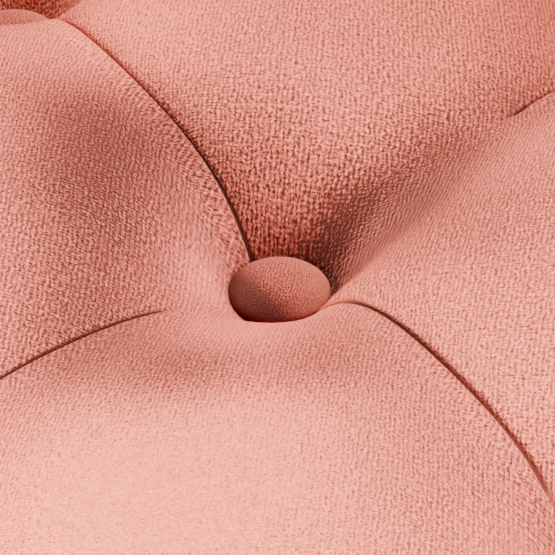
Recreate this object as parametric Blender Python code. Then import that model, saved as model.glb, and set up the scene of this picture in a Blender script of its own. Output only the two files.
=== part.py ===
"""Styling chair: upholstered tub seat on a hydraulic pump column, a round base and a T-bar footrest.

Metres, +Z up. The origin is on the column's axis, in the base plate's flat underside.
The front of the chair faces -Y. Every sub-part is one closed body with its own material.
"""
import math

import bmesh
import bpy
from mathutils import Matrix, Vector

# ---- gaps ----
TOUCH_GAP = 0.0003          # between pieces that rest on each other
HOLE_GAP = 0.0004           # round a bolt or pin in its hole
SOFT_GAP = 0.0010           # between the layers of the tub wall

# ---- base and pump ----
BASE_RADIUS = 0.290
BASE_RIM_HEIGHT = 0.006
BASE_HUB_RADIUS = 0.105
BASE_HUB_HEIGHT = 0.013
BASE_MIDDLE_RADIUS = 0.185
BASE_MIDDLE_HEIGHT = 0.0095
BASE_RIM_WIDTH = 0.012      # outer ring that slopes down to the skirt
BASE_RIM_DROP = 0.002
SKIRT_INSET = 0.004         # from the base's nominal radius in to the plate's edge
SKIRT_BOTTOM = 0.0012
COVER_SHEET = 0.0015
FLANGE_RADIUS = 0.080
FLANGE_THICKNESS = 0.010
FLANGE_BOLT_CIRCLE_RADIUS = 0.064
FLANGE_BOLT_DEGREES = (30, 150, 270)
HOUSING_RADIUS = 0.045
HOUSING_BORE_RADIUS = 0.034
HOUSING_TOP = 0.258
HEAD_THICKNESS = 0.014
WELL_DEPTH = 0.012          # below the rod's lowest end
DRAIN_RADIUS = 0.004
EDGE_BREAK = 0.002          # bevel on turned and flat metal edges
HEAD_BREAK = 0.003

# ---- ram, which the pump lifts ----
ROD_RADIUS = 0.022
ROD_BOTTOM = 0.050
COLLAR_RADIUS = 0.030
COLLAR_BOTTOM = 0.280
COLLAR_THICKNESS = 0.008
SPINDLE_RADIUS = 0.018
SPINDLE_TOP = 0.340
SEAL_HEIGHT = 0.014
SLEEVE_INNER_RADIUS = 0.0475
SLEEVE_WALL = 0.002
SLEEVE_BOTTOM = 0.100
BEARING_THICKNESS = 0.006

# ---- pedal ----
PIVOT_Y = 0.068
PIVOT_Z = 0.085
PIN_RADIUS = 0.005
EAR_INNER_X = 0.0115
EAR_THICKNESS = 0.007
EAR_REACH = 0.011           # from the pivot to the ear's edges
PIN_HEAD_RADIUS = 0.0075
PIN_HEAD_THICKNESS = 0.002
PEDAL_ARM_WIDTH = 0.020
PEDAL_ARM_HEIGHT = 0.014
PEDAL_ARM_LENGTH = 0.285
PEDAL_RISE = math.radians(5.5)
PUMP_CHAMBER_Y = 0.098
PUMP_CHAMBER_RADIUS = 0.014
PUMP_CHAMBER_TOP = 0.058
PLUNGER_RADIUS = 0.006
PLUNGER_BOTTOM = 0.034
PUMP_WEB_WIDTH = 0.018      # between the pump chamber and the housing
PUMP_WEB_DROP = 0.012       # from the chamber's top to the web's top
PAD_LENGTH = 0.062
PAD_WIDTH = 0.084
PAD_THICKNESS = 0.012
PAD_OVERHANG = 0.006

# ---- seat structure ----
PLATE_HALF = 0.100
PLATE_BOTTOM = 0.3445
PLATE_THICKNESS = 0.007
PLATE_BOLT_OFFSET = 0.080
SOCKET_RADIUS = 0.030
PLATE_CORNER = 0.012
FOOT_BOLT_Y = (-0.056, -0.086)
BOARD_CORNER = 0.040
BOARD_GAP = 0.0005          # to the ply wall
BOARD_BOTTOM = 0.352
BOARD_THICKNESS = 0.018

# ---- tub wall: a half circle at the back with two straight arms ----
WALL_RADIUS = 0.295
WALL_CENTRE_Y = 0.020
ARM_RUN = 0.200
WALL_BOTTOM = 0.345
LEAN_BACK = math.radians(10)
LEAN_ARM = math.radians(3)
BACK_TOP = 0.930
ARM_TOP = 0.700
SLOPE_START = 0.140         # distance along the wall from the middle of the back
SLOPE_END = 0.560
PLY_THICKNESS = 0.012
COVER_THICKNESS = 0.011
PAD_THICKNESS_BOTTOM = 0.048
PAD_THICKNESS_TOP = 0.036
ROLL_HEIGHT = 0.028
FACING_THICKNESS = 0.014
WALL_ROWS = 4

# ---- seat cushion ----
CUSHION_GAP = 0.0025        # to the inside pad
CUSHION_FRONT = -0.265
CUSHION_TOP = 0.500
CUSHION_CORNER = 0.050
CUSHION_ROLL = 0.035
BOARD_FRONT = -0.250
BOARD_FRONT_HALF_WIDTH = 0.238

# ---- tufting: buttons in a diamond lattice ----
BUTTON_RADIUS = 0.0115
BUTTON_DOME = 0.0065
PIT_DEPTH = 0.0340
PIT_FLOOR_RADIUS = 0.0135
PIT_MOUTH_RADIUS = 0.042
SEAT_PITCH_X = 0.160
SEAT_PITCH_Y = 0.190
BACK_PITCH = 0.180          # along the wall
BACK_ROW_RISE = 0.100
BACK_FIRST_ROW = 0.600      # height of the lowest row on the back

# ---- footrest ----
STEM_WIDTH = 0.044
STEM_HEIGHT = 0.020
STEM_START_Y = -0.036
STEM_FLAT_RUN = 0.205
STEM_TILT = math.radians(62)
STEM_UPPER_BEND = 0.060
STEM_LOWER_BEND = 0.050
STEM_SLOPE_RUN = 0.125
STEM_END_RUN = 0.030
FOOT_BAR_LENGTH = 0.310
FOOT_BAR_DEPTH = 0.044
FOOT_BAR_HEIGHT = 0.020
FOOT_BAR_CORNER = 0.006
STEM_CORNER = 0.005
TREAD_THICKNESS = 0.004
CAP_LENGTH = 0.008

# ---- bolts ----
BOLT_RADIUS = 0.004
BOLT_HEAD_RADIUS = 0.0078
BOLT_HEAD_HEIGHT = 0.0055
BOLT_CROWN = 0.0008         # height of the bevel on a head

FINE_SIDES = 48
ROUND_SIDES = 32
SMALL_SIDES = 16
SMOOTH_LIMIT = math.radians(35)

for leftover in list(bpy.data.objects):
    bpy.data.objects.remove(leftover, do_unlink=True)


# ---------------------------------------------------------------- helpers

def material(name, colour, roughness, metallic):
    """A Principled BSDF material."""
    made = bpy.data.materials.new(name)
    made.use_nodes = True
    shader = made.node_tree.nodes["Principled BSDF"]
    shader.inputs["Base Color"].default_value = (*colour, 1.0)
    shader.inputs["Roughness"].default_value = roughness
    shader.inputs["Metallic"].default_value = metallic
    made.diffuse_color = (*colour, 1.0)
    return made


def finish(name, mesh_builder, look, place=None):
    """Turn a bmesh into a named, smooth-shaded object with its own material, placed by a matrix."""
    bmesh.ops.remove_doubles(mesh_builder, verts=mesh_builder.verts, dist=1e-7)
    bmesh.ops.recalc_face_normals(mesh_builder, faces=mesh_builder.faces)
    mesh = bpy.data.meshes.new(name)
    mesh_builder.to_mesh(mesh)
    mesh_builder.free()
    for face in mesh.polygons:
        face.use_smooth = True
    mesh.set_sharp_from_angle(angle=SMOOTH_LIMIT)
    made = bpy.data.objects.new(name, mesh)
    bpy.context.scene.collection.objects.link(made)
    if place is not None:
        made.matrix_world = place
    if look is not None:
        mesh.materials.append(material(name, *look))
    return made


def loft(rings, ends_closed=True):
    """Join rings of points with quads. Ends are capped, or the last ring joins the first."""
    builder = bmesh.new()
    corners = [[builder.verts.new(point) for point in ring] for ring in rings]
    count = len(corners[0])
    pairs = list(zip(corners, corners[1:]))
    if not ends_closed:
        pairs.append((corners[-1], corners[0]))
    for lower, upper in pairs:
        for i in range(count):
            j = (i + 1) % count
            builder.faces.new((lower[i], lower[j], upper[j], upper[i]))
    if ends_closed:
        builder.faces.new(reversed(corners[0]))
        builder.faces.new(corners[-1])
    return builder


def circle(radius, height, sides, centre=(0.0, 0.0)):
    """A level ring of points."""
    turns = [2 * math.pi * i / sides for i in range(sides)]
    return [(centre[0] + radius * math.cos(a), centre[1] + radius * math.sin(a), height) for a in turns]


def turned(outline, sides, bored, centre=(0.0, 0.0)):
    """A body of revolution about Z: outline is (radius, height) points, a closed loop when bored."""
    return loft([circle(r, z, sides, centre) for r, z in outline], ends_closed=not bored)


def block(size, centre):
    """A plain box."""
    builder = bmesh.new()
    place = Matrix.Translation(centre) @ Matrix.Diagonal((*size, 1.0))
    bmesh.ops.create_cube(builder, size=1.0, matrix=place)
    return builder


def rounded_section(width, height, corner):
    """A rounded rectangle as (across, up) points."""
    points = []
    for quarter in range(4):
        for step in range(3):
            angle = math.radians(90 * quarter + 45 * step)
            across = (width / 2 - corner) * (1 if quarter in (0, 3) else -1) + corner * math.cos(angle)
            up = (height / 2 - corner) * (1 if quarter in (0, 1) else -1) + corner * math.sin(angle)
            points.append((across, up))
    return points


def cutter(name, builder, place=None):
    """A hidden tool body for a Boolean."""
    tool = finish(name, builder, None, place)
    tool.hide_render = True
    tool.display_type = "WIRE"
    return tool


def cut(target, tool, operation="DIFFERENCE"):
    """Add an exact Boolean to a target."""
    step = target.modifiers.new(tool.name, "BOOLEAN")
    step.operation = operation
    step.solver = "EXACT"
    step.object = tool


def hex_bolt(name, x, y, head_base, shank_end, points_up):
    """A hexagon-headed bolt on a vertical axis; the head sits at head_base, away from the shank."""
    away = -1 if points_up else 1
    head_end = head_base + away * BOLT_HEAD_HEIGHT
    crown = head_end - away * BOLT_CROWN
    corner_degrees = 30
    rings = []
    outline = ((BOLT_HEAD_RADIUS * 0.86, head_end), (BOLT_HEAD_RADIUS, crown), (BOLT_HEAD_RADIUS, head_base),
               (BOLT_RADIUS, head_base), (BOLT_RADIUS, shank_end))
    for radius, height in outline:
        ring = []
        for i in range(12):
            angle = 2 * math.pi * i / 12
            from_flat = math.radians((math.degrees(angle) + corner_degrees) % 60 - 30)
            reach = radius
            if radius != BOLT_RADIUS:
                reach = radius * math.cos(math.pi / 6) / math.cos(from_flat)
            ring.append((x + reach * math.cos(angle), y + reach * math.sin(angle), height))
        rings.append(ring)
    return finish(name, loft(rings), ZINC_STEEL)


# Looks: colour, roughness, metallic.
CHROME = ((0.80, 0.81, 0.83), 0.10, 1.0)
STEEL_PLATE = ((0.10, 0.10, 0.11), 0.55, 0.6)
POLISHED_ROD = ((0.72, 0.73, 0.75), 0.18, 1.0)
PAINTED_CASTING = ((0.28, 0.29, 0.31), 0.45, 0.4)
ZINC_STEEL = ((0.62, 0.63, 0.64), 0.35, 1.0)
RUBBER = ((0.03, 0.03, 0.03), 0.75, 0.0)
PLYWOOD = ((0.62, 0.45, 0.28), 0.65, 0.0)
BLACK_PLASTIC = ((0.04, 0.04, 0.045), 0.5, 0.0)
VELVET = ((0.62, 0.30, 0.25), 0.85, 0.0)


# ---------------------------------------------------------------- base and pump

cover_top = BASE_HUB_HEIGHT + TOUCH_GAP + COVER_SHEET
flange_bottom = cover_top + TOUCH_GAP
flange_top = flange_bottom + FLANGE_THICKNESS
rim_slope_start = BASE_RADIUS - BASE_RIM_WIDTH
plate_edge = BASE_RADIUS - SKIRT_INSET


def base_profile(lift, reach):
    """The dished top of the base as (radius, height) points, raised by lift and drawn out by reach."""
    return [(BASE_HUB_RADIUS, BASE_HUB_HEIGHT + lift), (BASE_MIDDLE_RADIUS, BASE_MIDDLE_HEIGHT + lift),
            (rim_slope_start, BASE_RIM_HEIGHT + lift),
            (plate_edge + reach, BASE_RIM_HEIGHT - BASE_RIM_DROP + lift)]


def flange_bolt_holes():
    """One tool with a vertical cylinder for each flange bolt."""
    builder = bmesh.new()
    hole_bottom, hole_top = 0.004, 0.036
    for degrees in FLANGE_BOLT_DEGREES:
        centre = (FLANGE_BOLT_CIRCLE_RADIUS * math.cos(math.radians(degrees)),
                  FLANGE_BOLT_CIRCLE_RADIUS * math.sin(math.radians(degrees)), (hole_bottom + hole_top) / 2)
        bmesh.ops.create_cone(builder, cap_ends=True, segments=16, radius1=BOLT_RADIUS + HOLE_GAP,
                              radius2=BOLT_RADIUS + HOLE_GAP, depth=hole_top - hole_bottom,
                              matrix=Matrix.Translation(centre))
    return cutter("flange_bolt_hole_tool", builder)


flange_holes = flange_bolt_holes()

pivot = Matrix.Translation((0.0, PIVOT_Y, PIVOT_Z))
pivot_across = pivot @ Matrix.Rotation(math.pi / 2, 4, "Y")
pedal_place = pivot @ Matrix.Rotation(PEDAL_RISE, 4, "X")

plate_outline = [(plate_edge, 0.0)] + base_profile(0.0, 0.0)[::-1]
base_plate = finish("base_plate", turned(plate_outline, FINE_SIDES, bored=False), STEEL_PLATE)
cut(base_plate, flange_holes)

skirt_inner = plate_edge + TOUCH_GAP
lower_sheet = base_profile(TOUCH_GAP, TOUCH_GAP)
upper_sheet = base_profile(TOUCH_GAP + COVER_SHEET, TOUCH_GAP + COVER_SHEET)
sheet_outline = ([(HOUSING_RADIUS, lower_sheet[0][1])] + lower_sheet
                 + [(skirt_inner, SKIRT_BOTTOM), (skirt_inner + COVER_SHEET, SKIRT_BOTTOM)]
                 + upper_sheet[::-1] + [(HOUSING_RADIUS, cover_top)])
base_cover = finish("base_cover", turned(sheet_outline, FINE_SIDES, bored=True), CHROME)
cut(base_cover, flange_holes)


def pump_housing():
    """Flanged tube with a blind bore, a pump chamber behind it and two ears for the pedal's pin."""
    well = ROD_BOTTOM - WELL_DEPTH
    outline = [(HOUSING_BORE_RADIUS, HOUSING_TOP), (HOUSING_BORE_RADIUS, well), (DRAIN_RADIUS, well),
               (DRAIN_RADIUS, flange_bottom), (FLANGE_RADIUS, flange_bottom),
               (FLANGE_RADIUS, flange_top - EDGE_BREAK), (FLANGE_RADIUS - EDGE_BREAK, flange_top),
               (HOUSING_RADIUS, flange_top), (HOUSING_RADIUS, HOUSING_TOP)]
    body = finish("pump_housing", turned(outline, ROUND_SIDES, bored=True), PAINTED_CASTING)
    chamber = turned([(PUMP_CHAMBER_RADIUS, flange_bottom + EDGE_BREAK),
                      (PUMP_CHAMBER_RADIUS, PUMP_CHAMBER_TOP)],
                     SMALL_SIDES, bored=False, centre=(0.0, PUMP_CHAMBER_Y))
    cut(body, cutter("pump_chamber_tool", chamber), "UNION")
    web_front, web_back = HOUSING_BORE_RADIUS + 0.004, PUMP_CHAMBER_Y
    web_bottom, web_top = flange_bottom + 0.003, PUMP_CHAMBER_TOP - PUMP_WEB_DROP
    web = block((PUMP_WEB_WIDTH, web_back - web_front, web_top - web_bottom),
                (0.0, (web_front + web_back) / 2, (web_bottom + web_top) / 2))
    cut(body, cutter("pump_web_tool", web), "UNION")
    ear_bottom, ear_top = flange_bottom + 0.004, PIVOT_Z + EAR_REACH
    ear_front, ear_back = HOUSING_BORE_RADIUS + 0.005, PIVOT_Y + EAR_REACH
    for side in (-1, 1):
        ear = block((EAR_THICKNESS, ear_back - ear_front, ear_top - ear_bottom),
                    (side * (EAR_INNER_X + EAR_THICKNESS / 2), (ear_back + ear_front) / 2,
                     (ear_top + ear_bottom) / 2))
        cut(body, cutter("pedal_ear_tool", ear), "UNION")
    bore = PLUNGER_RADIUS + HOLE_GAP
    plunger_bore = turned([(bore, PLUNGER_BOTTOM - 0.012), (bore, PUMP_CHAMBER_TOP + 0.010)],
                          SMALL_SIDES, bored=False, centre=(0.0, PUMP_CHAMBER_Y))
    cut(body, cutter("plunger_bore_tool", plunger_bore))
    pin_bore, half_length = PIN_RADIUS + HOLE_GAP, 0.040
    pin_hole = turned([(pin_bore, -half_length), (pin_bore, half_length)], SMALL_SIDES, bored=False)
    cut(body, cutter("pedal_pin_hole_tool", pin_hole, pivot_across))
    cut(body, flange_holes)
    return body


pump_housing()

head_bottom = HOUSING_TOP + TOUCH_GAP
head_top = head_bottom + HEAD_THICKNESS
head_bore = ROD_RADIUS + HOLE_GAP
finish("cylinder_head", turned([(head_bore, head_bottom), (HOUSING_RADIUS, head_bottom),
                                (HOUSING_RADIUS, head_top - HEAD_BREAK),
                                (HOUSING_RADIUS - HEAD_BREAK, head_top),
                                (head_bore, head_top)], ROUND_SIDES, bored=True), ZINC_STEEL)

for number, degrees in enumerate(FLANGE_BOLT_DEGREES, start=1):
    bolt_x = FLANGE_BOLT_CIRCLE_RADIUS * math.cos(math.radians(degrees))
    bolt_y = FLANGE_BOLT_CIRCLE_RADIUS * math.sin(math.radians(degrees))
    hex_bolt(f"flange_bolt_{number}", bolt_x, bolt_y, flange_top + TOUCH_GAP, 0.006, points_up=False)


# ---------------------------------------------------------------- ram

collar_top = COLLAR_BOTTOM + COLLAR_THICKNESS
finish("piston_rod", turned([(ROD_RADIUS - EDGE_BREAK, ROD_BOTTOM), (ROD_RADIUS, ROD_BOTTOM + EDGE_BREAK),
                             (ROD_RADIUS, COLLAR_BOTTOM), (COLLAR_RADIUS, COLLAR_BOTTOM),
                             (COLLAR_RADIUS, collar_top), (SPINDLE_RADIUS, collar_top),
                             (SPINDLE_RADIUS, SPINDLE_TOP - EDGE_BREAK),
                             (SPINDLE_RADIUS - EDGE_BREAK, SPINDLE_TOP)],
                            ROUND_SIDES, bored=False), POLISHED_ROD)

seal_bottom = ROD_BOTTOM + 0.010
seal_outer = HOUSING_BORE_RADIUS - HOLE_GAP
finish("piston_seal", turned([(ROD_RADIUS + TOUCH_GAP, seal_bottom), (seal_outer, seal_bottom),
                              (seal_outer, seal_bottom + SEAL_HEIGHT),
                              (ROD_RADIUS + TOUCH_GAP, seal_bottom + SEAL_HEIGHT)],
                             ROUND_SIDES, bored=True), RUBBER)

sleeve_top = COLLAR_BOTTOM - TOUCH_GAP
sleeve_outer = SLEEVE_INNER_RADIUS + SLEEVE_WALL
sleeve_cap_bottom = sleeve_top - HEAD_BREAK
sleeve_neck = ROD_RADIUS + TOUCH_GAP
finish("lift_sleeve", turned([(SLEEVE_INNER_RADIUS, SLEEVE_BOTTOM), (sleeve_outer, SLEEVE_BOTTOM),
                              (sleeve_outer, sleeve_top - EDGE_BREAK), (sleeve_outer - EDGE_BREAK, sleeve_top),
                              (sleeve_neck, sleeve_top), (sleeve_neck, sleeve_cap_bottom),
                              (SLEEVE_INNER_RADIUS, sleeve_cap_bottom)], FINE_SIDES, bored=True), CHROME)

bearing_bottom = collar_top + TOUCH_GAP
bearing_top = bearing_bottom + BEARING_THICKNESS
bearing_inner = SPINDLE_RADIUS + TOUCH_GAP
bearing_outer = COLLAR_RADIUS - 0.001
finish("thrust_bearing", turned([(bearing_inner, bearing_bottom), (bearing_outer, bearing_bottom),
                                 (bearing_outer, bearing_top), (bearing_inner, bearing_top)],
                                ROUND_SIDES, bored=True), ZINC_STEEL)


# ---------------------------------------------------------------- pedal

def headed_pin(radius, length, head_radius, head_length):
    """A headed pin along its own Z."""
    half = length / 2
    outline = [(head_radius, -half - head_length), (head_radius, -half), (radius, -half), (radius, half),
               (head_radius, half), (head_radius, half + head_length)]
    return turned(outline, SMALL_SIDES, bored=False)


ear_outer_x = EAR_INNER_X + EAR_THICKNESS
finish("pedal_pivot_pin", headed_pin(PIN_RADIUS, 2 * (ear_outer_x + TOUCH_GAP), PIN_HEAD_RADIUS,
                                      PIN_HEAD_THICKNESS), ZINC_STEEL,
       pivot_across)


def pedal_arm():
    """A flat bar that rises gently away from its pivot; its end by the pump is rounded."""
    half = PEDAL_ARM_HEIGHT / 2
    side = []
    for degrees in range(90, 271, 20):
        side.append((half * math.cos(math.radians(degrees)), half * math.sin(math.radians(degrees))))
    side += [(PEDAL_ARM_LENGTH - 2 * EDGE_BREAK, -half), (PEDAL_ARM_LENGTH, -half + 2 * EDGE_BREAK),
             (PEDAL_ARM_LENGTH, half - EDGE_BREAK), (PEDAL_ARM_LENGTH - EDGE_BREAK, half)]
    rings = [[(x, along, up) for along, up in side] for x in (-PEDAL_ARM_WIDTH / 2, PEDAL_ARM_WIDTH / 2)]
    arm = finish("pedal_arm", loft(rings), PAINTED_CASTING, pedal_place)
    bore, half_length = PIN_RADIUS + TOUCH_GAP, 0.030
    hole = turned([(bore, -half_length), (bore, half_length)], SMALL_SIDES, bored=False)
    cut(arm, cutter("pedal_arm_hole_tool", hole, pivot_across))


def pedal_pad():
    """A rubber-faced foot plate lying on the arm's outer end."""
    ring = rounded_section(PAD_WIDTH, PAD_THICKNESS, PAD_THICKNESS / 4)
    along_start = PEDAL_ARM_LENGTH - PAD_LENGTH + PAD_OVERHANG
    up = PEDAL_ARM_HEIGHT / 2 + TOUCH_GAP + PAD_THICKNESS / 2
    rings = [[(x, along_start + along, z + up) for x, z in ring] for along in (0.0, PAD_LENGTH)]
    finish("pedal_pad", loft(rings), RUBBER, pedal_place)


def pump_plunger():
    """A pin with a domed top, under the pedal's arm."""
    run = PUMP_CHAMBER_Y - PIVOT_Y
    arm_underside = PIVOT_Z + run * math.tan(PEDAL_RISE) - PEDAL_ARM_HEIGHT / 2 / math.cos(PEDAL_RISE)
    crown = arm_underside - 2 * TOUCH_GAP
    outline = [(PLUNGER_RADIUS, PLUNGER_BOTTOM)]
    for degrees in range(0, 76, 15):
        angle = math.radians(degrees)
        outline.append((PLUNGER_RADIUS * math.cos(angle), crown - PLUNGER_RADIUS * (1 - math.sin(angle))))
    pin = turned(outline, SMALL_SIDES, bored=False, centre=(0.0, PUMP_CHAMBER_Y))
    finish("pump_plunger", pin, POLISHED_ROD)


pedal_arm()
pedal_pad()
pump_plunger()


# ---------------------------------------------------------------- seat structure

def vertical_holes(name, places, radius, bottom, top):
    """One tool with a vertical cylinder at each place."""
    builder = bmesh.new()
    for x, y in places:
        bmesh.ops.create_cone(builder, cap_ends=True, segments=12, radius1=radius, radius2=radius,
                              depth=top - bottom, matrix=Matrix.Translation((x, y, (top + bottom) / 2)))
    return cutter(name, builder)


plate_bolt_places = [(sx * PLATE_BOLT_OFFSET, sy * PLATE_BOLT_OFFSET) for sx in (-1, 1) for sy in (-1, 1)]
foot_bolt_places = [(0.0, y) for y in FOOT_BOLT_Y]
plate_holes = vertical_holes("plate_hole_tool", plate_bolt_places, BOLT_RADIUS + HOLE_GAP, 0.33, 0.38)
foot_holes = vertical_holes("foot_hole_tool", foot_bolt_places, BOLT_RADIUS + HOLE_GAP, 0.31, 0.3518)
plate_top = PLATE_BOTTOM + PLATE_THICKNESS


def seat_bracket():
    """A square plate on a socket that turns on the ram's spindle."""
    bore = SPINDLE_RADIUS + TOUCH_GAP
    lower = [(x, y, PLATE_BOTTOM) for x, y in rounded_section(2 * PLATE_HALF, 2 * PLATE_HALF, PLATE_CORNER)]
    upper = [(x, y, plate_top) for x, y, _ in lower]
    body = finish("seat_bracket", loft([lower, upper]), STEEL_PLATE)
    socket = turned([(SOCKET_RADIUS, bearing_top + TOUCH_GAP), (SOCKET_RADIUS, PLATE_BOTTOM + 0.002)],
                    ROUND_SIDES, bored=False)
    cut(body, cutter("socket_tool", socket), "UNION")
    socket_bore = turned([(bore, COLLAR_BOTTOM), (bore, SPINDLE_TOP + 0.001)], ROUND_SIDES, bored=False)
    cut(body, cutter("socket_bore_tool", socket_bore))
    cut(body, plate_holes)
    cut(body, foot_holes)


seat_bracket()
for number, (bolt_x, bolt_y) in enumerate(plate_bolt_places, start=1):
    hex_bolt(f"plate_bolt_{number}", bolt_x, bolt_y, PLATE_BOTTOM - TOUCH_GAP,
             BOARD_BOTTOM + BOARD_THICKNESS - 0.001, points_up=True)


def half_plan(wall_offset, back_of_arms, front, front_half_width, corner, steps):
    """Right half of a level outline from the rear middle to the front middle, as (x, y) points.

    The rear follows the tub wall at wall_offset. Where back_of_arms is given the outline steps in
    there to front_half_width, and it ends in a rounded front corner.
    """
    radius = WALL_RADIUS + wall_offset
    points = []
    for i in range(steps + 1):
        turn = math.pi / 2 * i / steps
        points.append((radius * math.sin(turn), WALL_CENTRE_Y + radius * math.cos(turn)))
    if back_of_arms is not None:
        points += [(radius, back_of_arms), (front_half_width, back_of_arms)]
    for i in range(5):
        angle = math.pi / 2 * i / 4
        x = front_half_width - corner * (1 - math.cos(angle))
        points.append((x, front + corner * (1 - math.sin(angle))))
    return points


def full_plan(half):
    """Mirror a right half whose first point lies on X = 0."""
    return half + [(-x, y) for x, y in half[:0:-1]]


wall_end_y = WALL_CENTRE_Y - ARM_RUN
board_top = BOARD_BOTTOM + BOARD_THICKNESS
board_plan = full_plan(half_plan(-BOARD_GAP, wall_end_y + BOARD_GAP, BOARD_FRONT, BOARD_FRONT_HALF_WIDTH,
                                 BOARD_CORNER, 12))
board_rings = [[(x, y, z) for x, y in board_plan] for z in (BOARD_BOTTOM, board_top)]
board = finish("seat_board", loft(board_rings), PLYWOOD)
cut(board, plate_holes)


# ---------------------------------------------------------------- tub wall

arc_half = WALL_RADIUS * math.pi / 2
wall_half = arc_half + ARM_RUN


def wall_frame(along):
    """Plan position and outward direction of the ply's inner face at a distance from the back's middle."""
    side = 1 if along >= 0 else -1
    if abs(along) <= arc_half:
        turn = along / WALL_RADIUS
        outward = Vector((math.sin(turn), math.cos(turn), 0.0))
        return Vector((0.0, WALL_CENTRE_Y, 0.0)) + WALL_RADIUS * outward, outward
    outward = Vector((side, 0.0, 0.0))
    return Vector((side * WALL_RADIUS, WALL_CENTRE_Y - (abs(along) - arc_half), 0.0)), outward


def lean_at(along):
    """Outward lean of the wall, largest at the back."""
    share = math.cos(min(abs(along) / WALL_RADIUS, math.pi / 2)) ** 2
    return LEAN_ARM + (LEAN_BACK - LEAN_ARM) * share


def top_at(along):
    """Height of the wall's top, which falls smoothly from the back to the arms."""
    share = min(max((abs(along) - SLOPE_START) / (SLOPE_END - SLOPE_START), 0.0), 1.0)
    return BACK_TOP + (ARM_TOP - BACK_TOP) * share * share * (3 - 2 * share)


def wall_point(along, offset, height):
    """A point of the wall, offset outward from the ply's inner face."""
    base, outward = wall_frame(along)
    away = offset + (height - BOARD_BOTTOM) * math.tan(lean_at(along))
    return base + outward * away + Vector((0, 0, height))


pad_bottom = board_top + BOARD_GAP
cover_inner = PLY_THICKNESS + SOFT_GAP
cover_outer = cover_inner + COVER_THICKNESS


def pad_face(along, height):
    """Offset of the inside pad's face from the ply at a height."""
    share = (height - pad_bottom) / (top_at(along) - pad_bottom)
    return -(PAD_THICKNESS_BOTTOM + (PAD_THICKNESS_TOP - PAD_THICKNESS_BOTTOM) * share)


def heights(bottom, top):
    """Row heights up a wall face. The faces twist as the lean changes, so they need several rows."""
    return [bottom + (top - bottom) * i / WALL_ROWS for i in range(WALL_ROWS + 1)]


def pad_section(along):
    """Inside pad: a thick face that rolls over the top of the ply and the outside cover."""
    roll_base = top_at(along) - ROLL_HEIGHT
    rows = heights(pad_bottom, roll_base)
    section = [(pad_face(along, z), z) for z in rows]
    inner = section[-1][0]
    middle, half = (inner + cover_outer) / 2, (cover_outer - inner) / 2
    for step in range(1, 8):
        angle = math.pi * (1 - step / 7)
        section.append((middle + half * math.cos(angle), roll_base + ROLL_HEIGHT * math.sin(angle)))
    return section + [(-SOFT_GAP, z) for z in rows[::-1]]


def ply_section(along):
    """Bent plywood."""
    top = top_at(along) - ROLL_HEIGHT - SOFT_GAP
    rows = heights(BOARD_BOTTOM, top)
    return [(0.0, z) for z in rows] + [(PLY_THICKNESS, z) for z in rows[::-1]]


def cover_section(along):
    """Thin padded outside cover with a soft lower edge."""
    top = top_at(along) - ROLL_HEIGHT - SOFT_GAP
    inner_rows = heights(WALL_BOTTOM + 0.002, top)
    outer_rows = heights(WALL_BOTTOM + 0.006, top)
    return ([(cover_inner, z) for z in inner_rows] + [(cover_outer, z) for z in outer_rows[::-1]]
            + [(cover_outer - 0.004, WALL_BOTTOM)])


def wall_stations(arc_steps, arm_steps):
    """Distances along the wall, closer round the curve."""
    arc = [arc_half * (2 * i / arc_steps - 1) for i in range(arc_steps + 1)]
    arm = [arc_half + ARM_RUN * (i + 1) / arm_steps for i in range(arm_steps)]
    return [-a for a in arm[::-1]] + arc + arm


def wall_layer(name, section, look, arc_steps=26, arm_steps=3):
    """Sweep a section along the wall."""
    stations = wall_stations(arc_steps, arm_steps)
    rings = [[wall_point(along, d, z) for d, z in section(along)] for along in stations]
    return finish(name, loft(rings), look)


wall_layer("shell_ply", ply_section, PLYWOOD)
wall_layer("outside_cover", cover_section, VELVET)
inside_pad = wall_layer("inside_back_pad", pad_section, VELVET)


def arm_facing(name, side):
    """Soft panel that closes the front end of an arm."""
    along = side * wall_half
    outline = [(pad_face(along, pad_bottom), WALL_BOTTOM)] + pad_section(along)[:-WALL_ROWS - 1]
    outline += [(cover_outer, WALL_BOTTOM)]
    soft = 0.004
    middle_d = sum(d for d, _ in outline) / len(outline)
    middle_z = sum(z for _, z in outline) / len(outline)
    rings = []
    for forward, inset in ((TOUCH_GAP, 0.0), (FACING_THICKNESS - soft, 0.0), (FACING_THICKNESS, soft)):
        ring = []
        for d, z in outline:
            inward = Vector((middle_d - d, middle_z - z)).normalized() * inset
            point = wall_point(along, d + inward.x, z + inward.y)
            ring.append(point + Vector((0.0, -forward, 0.0)))
        rings.append(ring)
    finish(name, loft(rings), VELVET)


arm_facing("arm_facing_left", -1)
arm_facing("arm_facing_right", 1)


# ---------------------------------------------------------------- seat cushion

cushion_offset = -(PAD_THICKNESS_BOTTOM + CUSHION_GAP)
cushion_half_width = WALL_RADIUS + cushion_offset


def cushion_plan(inset):
    """Level outline of the cushion, drawn in by inset."""
    half = half_plan(cushion_offset - inset, None, CUSHION_FRONT + inset, cushion_half_width - inset,
                     CUSHION_CORNER - inset, 12)
    return full_plan(half)


def seat_cushion():
    """Thick cushion with a rolled top edge."""
    levels = [(pad_bottom, 0.004), (pad_bottom + 0.008, 0.0)]
    for step in range(6):
        angle = math.pi / 2 * step / 5
        levels.append((CUSHION_TOP - CUSHION_ROLL + CUSHION_ROLL * math.sin(angle),
                       CUSHION_ROLL * (1 - math.cos(angle))))
    rings = [[(x, y, z) for x, y in cushion_plan(inset)] for z, inset in levels]
    return finish("seat_cushion", loft(rings), VELVET)


cushion = seat_cushion()


# ---------------------------------------------------------------- tufting

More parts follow.
